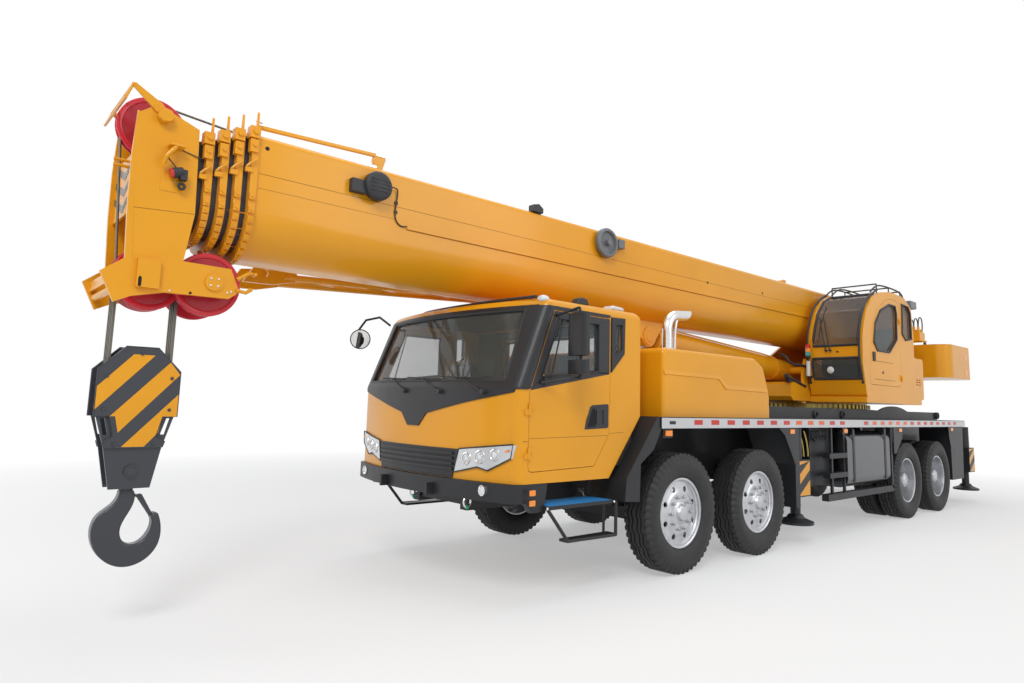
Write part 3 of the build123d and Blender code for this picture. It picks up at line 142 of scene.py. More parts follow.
def coated(name, colour, rough=(0.28, 0.36), coat=0.4, metallic=0.0, vary=0.06, fine=0.05):
    """Sprayed paint: slight colour drift, orange-peel bump and a clear coat."""
    material, tree, shader = new_material(name)
    drift = noise(tree, 0.9, 2.0)
    low = shade(colour, 1 - vary)
    high = shade(colour, 1 + vary)
    tree.links.new(ramp(tree, drift, [(0.3, low), (0.7, high)]), shader.inputs["Base Color"])
    tree.links.new(span(tree, noise(tree, 6.0), *rough), shader.inputs["Roughness"])
    shader.inputs["Metallic"].default_value = metallic
    shader.inputs["Coat Weight"].default_value = coat
    shader.inputs["Coat Roughness"].default_value = 0.12
    shader.inputs["Specular IOR Level"].default_value = 0.3
    bump(tree, shader, noise(tree, 320.0, 1.0), fine)
    return material


def bare_metal(name, colour, rough=(0.2, 0.35), grain=(1.0, 1.0, 40.0)):
    material, tree, shader = new_material(name)
    mapping = tree.nodes.new("ShaderNodeMapping")
    mapping.inputs["Scale"].default_value = grain
    tree.links.new(place(tree), mapping.inputs[0])
    lines = noise(tree, 14.0, 4.0, mapping.outputs[0])
    stops = [(0.3, shade(colour, 0.88)), (0.7, shade(colour, 1.1))]
    tree.links.new(ramp(tree, lines, stops), shader.inputs["Base Color"])
    tree.links.new(span(tree, lines, *rough), shader.inputs["Roughness"])
    shader.inputs["Metallic"].default_value = 1.0
    bump(tree, shader, lines, 0.08, 0.001)
    return material


def rubber_material(name, colour, rough=(0.55, 0.72)):
    material, tree, shader = new_material(name)
    dust = noise(tree, 9.0, 6.0)
    stops = [(0.35, colour), (0.75, shade(colour, 1.55))]
    tree.links.new(ramp(tree, dust, stops), shader.inputs["Base Color"])
    tree.links.new(span(tree, noise(tree, 24.0), *rough), shader.inputs["Roughness"])
    bump(tree, shader, noise(tree, 90.0, 3.0), 0.15)
    return material


def pane_material(name, colour, alpha):
    material, tree, shader = new_material(name)
    shader.inputs["Base Color"].default_value = (*colour, 1)
    tree.links.new(span(tree, noise(tree, 2.0), 0.02, 0.05), shader.inputs["Roughness"])
    shader.inputs["Alpha"].default_value = alpha
    shader.inputs["IOR"].default_value = 1.5
    shader.inputs["Coat Weight"].default_value = 0.6
    return material


YELLOW = (0.78, 0.335, 0.008)
RED = (0.64, 0.021, 0.038)
materials = {
    "paint": coated("crane_paint", YELLOW, coat=0.25),
    "chassis_black": coated("chassis_black", (0.02, 0.021, 0.024), (0.4, 0.52), 0.1),
    "cast_iron": coated("cast_grey", (0.05, 0.05, 0.055), (0.55, 0.7), 0.0, fine=0.3),
    "glass": pane_material("window_glass", (0.12, 0.15, 0.15), 0.26),
    "lamp_glass": pane_material("lamp_glass", (0.88, 0.9, 0.92), 0.35),
    "cabin_plastic": coated("cabin_plastic", (0.034, 0.035, 0.039), (0.5, 0.65), 0.1, fine=0.4),
    "chrome": bare_metal("chrome", (0.72, 0.71, 0.7), (0.1, 0.2)),
    "brushed": bare_metal("brushed_tank", (0.15, 0.153, 0.16), (0.25, 0.4)),
    "sheave_red": coated("sheave_red", RED, (0.3, 0.42)),
    "rope_steel": bare_metal("rope_steel", (0.16, 0.15, 0.13), (0.45, 0.6)),
    "block_grey": coated("block_grey", (0.042, 0.045, 0.054), (0.3, 0.42), 0.3),
    "tyre": rubber_material("tyre_rubber", (0.014, 0.014, 0.015)),
}
SILVER = bare_metal("wheel_silver", (0.55, 0.56, 0.58), (0.34, 0.46), (1, 1, 1))
LAMP_FACE = coated("lamp_reflector", (0.6, 0.62, 0.64), (0.15, 0.3), 0.8, metallic=0.35)
LINING = coated("cab_lining", (0.045, 0.038, 0.033), (0.7, 0.8), 0.0, fine=0.3)
# Darker red on the sheave webs between rim and hub: painted shade.
SHEAVE_WEB_SHADE = coated("sheave_web_painted_shade", (0.42, 0.014, 0.026), (0.4, 0.5))
TAPE_WHITE = coated("tape_white", (0.58, 0.58, 0.59), (0.3, 0.42), 0.3)
TAPE_RED = coated("tape_red", (0.55, 0.025, 0.015), (0.3, 0.4), 0.3)
TAPE_AMBER = coated("tape_amber", (0.8, 0.12, 0.012), (0.3, 0.4), 0.3)
AMBER = coated("amber_lens", (0.95, 0.27, 0.01), (0.12, 0.2), 0.8)
RED_LENS = coated("red_lens", (0.6, 0.01, 0.015), (0.12, 0.2), 0.8)
TEAL = coated("teal_lens", (0.01, 0.33, 0.28), (0.12, 0.2), 0.8)
LENS_WHITE = coated("white_lens", (0.75, 0.78, 0.8), (0.1, 0.2), 0.8)
WHITE = coated("white_plastic", (0.7, 0.7, 0.7), (0.35, 0.45), 0.2)
GREY = coated("grey_paint", (0.16, 0.17, 0.18), (0.35, 0.5), 0.2)
BLUE = coated("blue_tread", (0.03, 0.24, 0.55), (0.4, 0.5), 0.2, fine=0.3)
GREEN = coated("green_cord", (0.01, 0.35, 0.12), (0.6, 0.8), 0.0, fine=0.4)
GOLD = bare_metal("gold_zinc", (0.42, 0.33, 0.1), (0.32, 0.45))
# Satin black, for the chevrons on the head and the dark sleeves on the inner boom sections.
SATIN_BLACK = coated("satin_black", (0.03, 0.031, 0.036), (0.3, 0.45), 0.3)
# Near-black for the insides of holes, slots and recesses: painted shade.
HOLE_SHADE = coated("painted_hole_shade", (0.008, 0.008, 0.009), (0.7, 0.8), 0.0)
# Darker yellow-brown for thin lines along creases and seams: painted shade.
SEAM_SHADE = coated("painted_seam_shade", (0.3, 0.13, 0.008), (0.5, 0.6), 0.0)


def dress_nodes():
    for row in frame["record"]["subparts"]:
        mesh = nodes[row["node"]].data
        finish = materials[row["material_slot"]]
        mesh.materials.clear()
        own = {"slew_ring": GOLD, "lamps": LAMP_FACE}
        mesh.materials.append(own.get(row["node"], finish))


# Shapes: every helper adds to a bmesh, in metres in the shared frame
def cuboid(bm, x, y, z, turn=None):
    """A box between two places on each axis; turn is (angle, axis) about its middle."""
    middle = Vector(((x[0] + x[1]) / 2, (y[0] + y[1]) / 2, (z[0] + z[1]) / 2))
    size = Vector((abs(x[1] - x[0]), abs(y[1] - y[0]), abs(z[1] - z[0])))
    matrix = Matrix.Translation(middle)
    if turn:
        matrix = matrix @ Matrix.Rotation(radians(turn[0]), 4, turn[1])
    bmesh.ops.create_cube(bm, size=1.0, matrix=matrix @ Matrix.Diagonal((*size, 1)))


def prism(bm, outline, low, high, across="x"):
    """A flat outline carried along an axis: (y, z) along X, (x, z) along Y, (x, y) along Z."""
    spots = {
        "x": lambda a, b, c: (c, a, b),
        "y": lambda a, b, c: (a, c, b),
        "z": lambda a, b, c: (a, b, c),
    }[across]
    near = [bm.verts.new(spots(a, b, low)) for a, b in outline]
    far = [bm.verts.new(spots(a, b, high)) for a, b in outline]
    bm.faces.new(near)
    bm.faces.new(far[::-1])
    for k in range(len(outline)):
        n = (k + 1) % len(outline)
        bm.faces.new((near[k], far[k], far[n], near[n]))


def rod(bm, start, end, radius, sides=12, end_radius=None):
    start = Vector(start)
    run = Vector(end) - start
    turn = run.to_track_quat("Z", "Y").to_matrix().to_4x4()
    bmesh.ops.create_cone(
        bm,
        cap_ends=True,
        segments=sides,
        radius1=radius,
        radius2=radius if end_radius is None else end_radius,
        depth=run.length,
        matrix=Matrix.Translation(start + run / 2) @ turn,
    )


def rounded(points):
    """Points along the smooth NURBS line that a row of points controls."""
    data = bpy.data.curves.new("line", "CURVE")
    data.dimensions = "3D"
    data.resolution_u = 6
    spline = data.splines.new("NURBS")
    spline.points.add(len(points) - 1)
    for point, spot in zip(spline.points, points):
        point.co = (*spot, 1.0)
    spline.order_u = 3
    spline.use_endpoint_u = True
    line = bpy.data.objects.new("line", data)
    mesh = bpy.data.meshes.new_from_object(line)
    spots = [vertex.co.copy() for vertex in mesh.vertices]
    bpy.data.meshes.remove(mesh)
    bpy.data.objects.remove(line)
    bpy.data.curves.remove(data)
    return spots


def tube(bm, points, radius, sides=8, closed=False):
    """A tube along a row of points."""
    points = [Vector(p) for p in points]
    count = len(points)
    across = None
    rings = []
    for k, point in enumerate(points):
        before = points[k - 1] if k or closed else point
        after = points[(k + 1) % count] if k < count - 1 or closed else point
        along = (after - before).normalized()
        if across is None:
            across = along.orthogonal().normalized()
        across = (across - along * across.dot(along)).normalized()
        other = along.cross(across)
        rings.append(
            [
                bm.verts.new(
                    point + (across * cos(tau * s / sides) + other * sin(tau * s / sides)) * radius
                )
                for s in range(sides)
            ]
        )
    for k in range(count if closed else count - 1):
        here, there = rings[k], rings[(k + 1) % count]
        for s in range(sides):
            n = (s + 1) % sides
            bm.faces.new((here[s], here[n], there[n], there[s]))
    if not closed:
        bm.faces.new(rings[0][::-1])
        bm.faces.new(rings[-1])


def pipe(bm, points, radius, sides=8):
    """A tube along the smooth line that a row of points controls."""
    tube(bm, rounded(points), radius, sides)


def lathe(bm, profile, centre, axis=(1, 0, 0), turns=64, notch=None):
    """Revolve (distance along the axis, radius) points; notch(index, u, r) may move a point."""
    centre = Vector(centre)
    axis = Vector(axis).normalized()
    side = axis.orthogonal().normalized()
    other = axis.cross(side)
    rings = []
    for index in range(turns):
        around = side * cos(tau * index / turns) + other * sin(tau * index / turns)
        ring = []
        for u, r in profile:
            if notch:
                u, r = notch(index, u, r)
            ring.append(bm.verts.new(centre + axis * u + around * max(r, 1e-5)))
        rings.append(ring)
    for index in range(turns):
        here, there = rings[index], rings[(index + 1) % turns]
        for k in range(len(profile) - 1):
            bm.faces.new((here[k], there[k], there[k + 1], here[k + 1]))


def ball(bm, centre, radius, squash=(1, 1, 1)):
    matrix = Matrix.Translation(centre) @ Matrix.Diagonal((*squash, 1))
    bmesh.ops.create_uvsphere(bm, u_segments=16, v_segments=10, radius=radius, matrix=matrix)


def mirror(bm):
    """Add the mirror image of what is in a bmesh, across the middle plane."""
    twin = bmesh.ops.duplicate(bm, geom=bm.verts[:] + bm.edges[:] + bm.faces[:])["geom"]
    verts = [v for v in twin if isinstance(v, bmesh.types.BMVert)]
    bmesh.ops.scale(bm, vec=(-1, 1, 1), verts=verts)


def torus(bm, centre, axis, ring, radius, turns=24):
    centre = Vector(centre)
    axis = Vector(axis).normalized()
    side = axis.orthogonal().normalized()
    other = axis.cross(side)
    points = [
        centre + (side * cos(tau * k / turns) + other * sin(tau * k / turns)) * ring
        for k in range(turns)
    ]
    tube(bm, points, radius, 8, closed=True)


def piece(name, bm, body, finish, bevel=0.0, crease=32):
    """Turn a finished bmesh into a piece on a body; finish is a slot, or (material, slot)."""
    material, slot = (materials[finish], finish) if isinstance(finish, str) else finish
    bmesh.ops.remove_doubles(bm, verts=bm.verts, dist=5e-5)
    bmesh.ops.recalc_face_normals(bm, faces=bm.faces)
    if bevel:
        hard = [e for e in bm.edges if len(e.link_faces) == 2 and e.calc_face_angle(0.0) > radians(crease)]
        bmesh.ops.bevel(bm, geom=hard, offset=bevel, segments=1, affect="EDGES", clamp_overlap=True)
    for face in bm.faces:
        face.smooth = True
    for edge in bm.edges:
        edge.smooth = len(edge.link_faces) == 2 and edge.calc_face_angle(0.0) < radians(crease)
    data = bpy.data.meshes.new(name)
    bm.to_mesh(data)
    bm.free()
    data.materials.append(material)
    item = bpy.data.objects.new(name, data)
    bpy.context.scene.collection.objects.link(item)
    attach(item, body)
    return item


def sided(values, sign):
    """A pair of X places on the left, mirrored where sign is -1."""
    return tuple(sorted(sign * v for v in values))


JACK_HALF = 0.145
JACK_Z = (0.575, 0.985)
OUTRIGGER_Y = {"front_left": 0.305, "front_right": 0.585, "rear_left": 6.9, "rear_right": 6.62}
BOTH = (("left", 1), ("right", -1))

# Wheels
AXLE_Y = (-2.2, -0.75, 3.725, 5.075)
WHEEL_X = 1.2
WHEEL_Z = 0.575
NUTS = 10
HAND_HOLES = 8
HUB_BOLTS = 8
TWIN = 0.34
TREAD_STEPS = 150
TYRE_SIDE = [
    (0.1075, 0.337), (0.119, 0.341), (0.13, 0.352), (0.1415, 0.372), (0.1505, 0.402), (0.1525, 0.408),
    (0.1548, 0.428), (0.1572, 0.455), (0.157, 0.478), (0.1558, 0.481), (0.1535, 0.503), (0.149, 0.522),
    (0.144, 0.536), (0.135, 0.56), (0.1255, 0.5745), (0.1, 0.575),
]
TREAD_TOP = [
    (0.08, 0.575), (0.076, 0.559), (0.066, 0.559), (0.062, 0.575), (0.038, 0.575), (0.034, 0.559),
    (0.024, 0.559), (0.02, 0.575),
]


def tyre_notch(index, u, r):
    """Shoulder lugs: one step in three is cut down, and the grooves wander."""
    if abs(u) > 0.09 and r > 0.515:
        if index % 3 == 0:
            r -= 0.016 if r > 0.565 else 0.01
            u *= 0.95
    elif abs(u) < 0.09 and r > 0.5:
        u += 0.007 if (index // 3) % 2 else -0.007
    return u, r


def tyre(bm, x, y):
    half = [(-u, r) for u, r in TYRE_SIDE] + [(-u, r) for u, r in TREAD_TOP]
    profile = half + [(-u, r) for u, r in half[::-1]] + half[:1]
    lathe(bm, profile, (x, y, WHEEL_Z), turns=TREAD_STEPS, notch=tyre_notch)


def drilled(bm, cutters):
    """The same form with rods cut out of it."""
    parts = []
    for index, source in enumerate((bm, cutters)):
        bmesh.ops.recalc_face_normals(source, faces=source.faces)
        data = bpy.data.meshes.new(f"drill_{index}")
        source.to_mesh(data)
        source.free()
        item = bpy.data.objects.new(f"drill_{index}", data)
        bpy.context.scene.collection.objects.link(item)
        parts.append(item)
    cut = parts[0].modifiers.new("holes", "BOOLEAN")
    cut.operation = "DIFFERENCE"
    cut.object = parts[1]
    bpy.context.view_layer.update()
    done = parts[0].evaluated_get(bpy.context.evaluated_depsgraph_get())
    out = bmesh.new()
    out.from_mesh(done.to_mesh())
    done.to_mesh_clear()
    for item in parts:
        bpy.data.objects.remove(item)
    return out


FRONT_DISC = [
    (0.15, 0.0), (0.15, 0.058), (0.146, 0.068), (0.136, 0.074), (0.118, 0.082), (0.112, 0.104),
    (0.106, 0.112), (0.104, 0.125), (0.104, 0.19), (0.101, 0.203), (0.093, 0.216), (0.089, 0.235),
    (0.087, 0.268), (0.081, 0.29), (0.082, 0.3), (0.094, 0.31), (0.113, 0.3125), (0.1185, 0.322),
    (0.1175, 0.3349), (-0.1175, 0.3349), (-0.1175, 0.321), (0.055, 0.3), (0.062, 0.235), (0.08, 0.2),
    (0.08, 0.11), (0.03, 0.1), (0.03, 0.0),
]
REAR_DISC = [
    (0.096, 0.0), (0.096, 0.062), (0.09, 0.07), (0.086, 0.088), (0.078, 0.104), (0.03, 0.112), (-0.1, 0.118),
    (-0.15, 0.121), (-0.156, 0.13), (-0.156, 0.188), (-0.15, 0.2), (-0.128, 0.222), (-0.118, 0.24),
    (-0.118, 0.262), (-0.11, 0.292), (-0.08, 0.302), (0.07, 0.308), (0.094, 0.3105), (0.113, 0.3125),
    (0.1185, 0.322), (0.1175, 0.3349), (-0.4575, 0.3349), (-0.4575, 0.321), (-0.14, 0.3), (-0.16, 0.235),
    (-0.182, 0.19), (-0.182, 0.11), (-0.2, 0.0),
]


def wheel_disc(twin, sign, y):
    centre = Vector((sign * WHEEL_X, y, WHEEL_Z))
    bm = bmesh.new()
    lathe(bm, REAR_DISC if twin else FRONT_DISC, (0, 0, 0), turns=72)
    bmesh.ops.remove_doubles(bm, verts=bm.verts, dist=1e-4)
    cutters = bmesh.new()
    for k in range(HAND_HOLES):
        angle = tau * (k + 0.5) / HAND_HOLES
        at = Vector((0, cos(angle), sin(angle))) * (0.245 if twin else 0.2385)
        rod(cutters, at + Vector((-0.3, 0, 0)), at + Vector((0.3, 0, 0)), 0.027, 16)
    bm = drilled(bm, cutters)
    face = -0.156 if twin else 0.104
    for k in range(NUTS):
        angle = tau * k / NUTS
        at = Vector((0, cos(angle), sin(angle))) * 0.157
        rod(bm, at + Vector((face - 0.002, 0, 0)), at + Vector((face + 0.006, 0, 0)), 0.021, 16)
        rod(bm, at + Vector((face, 0, 0)), at + Vector((face + 0.028, 0, 0)), 0.0185, 6)
        rod(bm, at + Vector((face, 0, 0)), at + Vector((face + 0.044, 0, 0)), 0.0095, 8)
    cap = 0.096 if twin else 0.15
    for k in range(HUB_BOLTS):
        angle = tau * k / HUB_BOLTS
        at = Vector((0, cos(angle), sin(angle))) * (0.088 if twin else 0.062)
        base = 0.086 if twin else 0.144
        rod(bm, at + Vector((base - 0.01, 0, 0)), at + Vector((min(base + 0.008, cap), 0, 0)), 0.007, 6)
    if sign < 0:
        bmesh.ops.scale(bm, vec=(-1, 1, 1), verts=bm.verts)
    bmesh.ops.translate(bm, vec=centre, verts=bm.verts)
    return bm


def wheels():
    for number, y in enumerate(AXLE_Y, 1):
        for label, sign in BOTH:
            body = f"wheel_{number}_{label}"
            twin = number > 2
            bm = bmesh.new()
            tyre(bm, sign * WHEEL_X, y)
            if twin:
                tyre(bm, sign * (WHEEL_X - TWIN), y)
            item = piece(f"tyres_{number}_{label}", bm, body, "tyre", crease=40)
            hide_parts(body)
            piece(f"disc_{number}_{label}", wheel_disc(twin, sign, y), body, (SILVER, "brushed"), crease=28)


# Carrier: tape, markers, lugs, bumper, steps
DECK_X = 1.375
TAPE_Z = (1.392, 1.492)
MARK_Z = (1.426, 1.474)


def deck_trim():
    white, red, amber = bmesh.new(), bmesh.new(), bmesh.new()
    rows = [(-2.058 + 0.302 * k, 7 <= k <= 9) for k in range(12)]
    rows += [(2.029 + 0.292 * k, 1 <= k <= 5) for k in range(14)]
    cuboid(white, (DECK_X, DECK_X + 0.0018), (-2.588, 6.468), TAPE_Z)
    for y, warm in rows:
        target = amber if warm else red
        cuboid(target, (DECK_X, DECK_X + 0.003), (y, y + 0.145), MARK_Z)
    for bm in (white, red, amber):
        mirror(bm)
    for x in (-0.9, -0.3, 0.3, 0.9):
        cuboid(red, (x - 0.15, x + 0.15), (6.47, 6.473), MARK_Z)
    cuboid(white, (-1.374, 1.374), (6.4695, 6.4718), TAPE_Z)
    piece("deck_tape_white", white, "carrier", (TAPE_WHITE, "brushed"))
    piece("deck_tape_red", red, "carrier", (TAPE_RED, "sheave_red"))
    piece("deck_tape_amber", amber, "carrier", (TAPE_AMBER, "sheave_red"))
    lens, back = bmesh.new(), bmesh.new()
    for y in (-2.463, -0.018, 1.457, 3.385, 5.762):
        cuboid(back, (1.335, 1.353), (y - 0.075, y + 0.075), (1.3, 1.401))
        cuboid(lens, (1.352, 1.372), (y - 0.052, y + 0.052), (1.318, 1.372))
    for z in (0.887, 0.808):
        cuboid(lens, (1.3, 1.309), (-4.172 - 0.03, -4.172 + 0.035), (z - 0.022, z + 0.022))
    # A dark slot on the deck lip near the front: painted shade of a lamp hole.
    cuboid(back, (DECK_X + 0.001, DECK_X + 0.004), (-2.47, -2.37), (1.43, 1.462))
    mirror(back)
    mirror(lens)
    piece("side_markers", lens, "carrier", (AMBER, "lamp_glass"), 0.004)
    piece("side_marker_backs", back, "carrier", "chassis_black", 0.003)
    steel = bmesh.new()
    for y in (1.513, 2.375):
        torus(steel, (0.945, y, 1.548), (1, 0, 0), 0.047, 0.013)
    lathe(
        steel,
        [(-0.025, 0.035), (-0.025, 0.062), (0.025, 0.062), (0.025, 0.035), (-0.025, 0.035)],
        (0.945, 6.4, 1.578),
        turns=28,
    )
    mirror(steel)
    piece("lifting_lugs", steel, "carrier", "cast_iron")


def outrigger_stripes():
    """Yellow and dark bands on the sides of the jack boxes."""
    for corner in OUTRIGGER_Y:
        body = f"outrigger_beam_{corner}"
        low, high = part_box(body)
        sign = 1 if corner.endswith("left") else -1
        outer = high[0] if sign > 0 else low[0]
        y_mid = OUTRIGGER_Y[corner]
        y_pair = (y_mid - JACK_HALF, y_mid + JACK_HALF)
        bottom, top = JACK_Z
        bands = bmesh.new()
        cuboid(bands, sided((outer - 0.002 * sign, outer + 0.001 * sign), 1), y_pair, (bottom, top))
        piece(f"jack_panel_{corner}", bands, body, "paint")
        dark = bmesh.new()
        for shift in (-0.02, 0.22):
            band = [
                (y_pair[0], bottom + shift + 0.02),
                (y_pair[1], bottom + shift + 0.2),
                (y_pair[1], bottom + shift + 0.32),
                (y_pair[0], bottom + shift + 0.14),
            ]
            band = [(y, min(top, max(bottom, z))) for y, z in band]
            prism(dark, band, *sided((outer * sign, outer * sign + 0.0018), sign))
        piece(f"jack_stripes_{corner}", dark, body, "chassis_black")


def carrier_trim():
    blue = bmesh.new()
    cuboid(blue, (1.01, 1.296), (-3.985, -3.215), (0.7682, 0.7712))
    mirror(blue)
    piece("step_treads", blue, "carrier", (BLUE, "cabin_plastic"))
    tread = bmesh.new()
    for k in range(9):
        x = 1.03 + k * 0.029
        cuboid(tread, (x, x + 0.006), (-3.97, -3.23), (0.7711, 0.7736))
    mirror(tread)
    piece("step_ribs", tread, "carrier", (BLUE, "cabin_plastic"))
    ring, tie = bmesh.new(), bmesh.new()
    for x in (-0.054, 0.757):
        torus(ring, (x, -4.4, 0.772), (1, 0.2, 0), 0.042, 0.008)
        torus(tie, (x, -4.4, 0.728), (0, 1, 0.3), 0.014, 0.006, 14)
    piece("tow_rings", ring, "carrier", "chrome")
    piece("ring_ties", tie, "carrier", (GREEN, "cabin_plastic"))
    fog, glass = bmesh.new(), bmesh.new()
    at = Vector((0.955, -4.385, 0.885))
    lathe(
        fog, [(-0.012, 0.03), (-0.026, 0.036), (-0.026, 0.043), (0.05, 0.046), (0.05, 0.0)], at, (0, 1, 0),
        28,
    )
    lathe(
        glass, [(-0.022, 0.0), (-0.02, 0.022), (-0.016, 0.035), (0.0, 0.035), (0.0, 0.0)], at, (0, 1, 0), 28,
    )
    mirror(fog)
    mirror(glass)
    piece("fog_lamp_rings", fog, "carrier", "chrome")
    piece("fog_lamp_glass", glass, "carrier", (LENS_WHITE, "lamp_glass"))
    # Black sheets on the bumper's face where it has openings: painted shade inside them.
    holes = bmesh.new()
    for x, z in ((-0.11, 0.89), (0.03, 0.9), (-0.11, 0.83), (0.03, 0.84), (-0.42, 0.86)):
        wide = 0.075 if x < -0.3 else 0.011
        cuboid(holes, (x - wide, x + wide), (-4.475, -4.462), (z - 0.011, z + 0.011))
    piece("bumper_opening_shade", holes, "carrier", (HOLE_SHADE, "chassis_black"))
    bolt = bmesh.new()
    for y, z in ((-4.0, 0.752), (-3.18, 0.752), (-3.08, 0.79)):
        ball(bolt, (1.302, y, z), 0.012, (0.6, 1, 1))
    mirror(bolt)
    piece("step_bolts", bolt, "carrier", "chrome")


CAB_FRONT = -4.47
CAB_ARC = 4.0
CAB_RAKE = 0.4
CREASE_X = (1.2495, 1.2506)
TRIM_X = (1.2495, 1.2512)
WINDSCREEN_LOW = 1.72


def front_y(x, z):
    """The cab's outer face at a place on its front."""
    bow = CAB_ARC - sqrt(CAB_ARC**2 - x * x)
    return CAB_FRONT + bow + max(0.0, z - WINDSCREEN_LOW) * CAB_RAKE


def on_glass(spot, lift):
    """A place (x, z) of the windscreen, lifted off its face."""
    return Vector((spot[0], front_y(*spot) - lift, spot[1]))


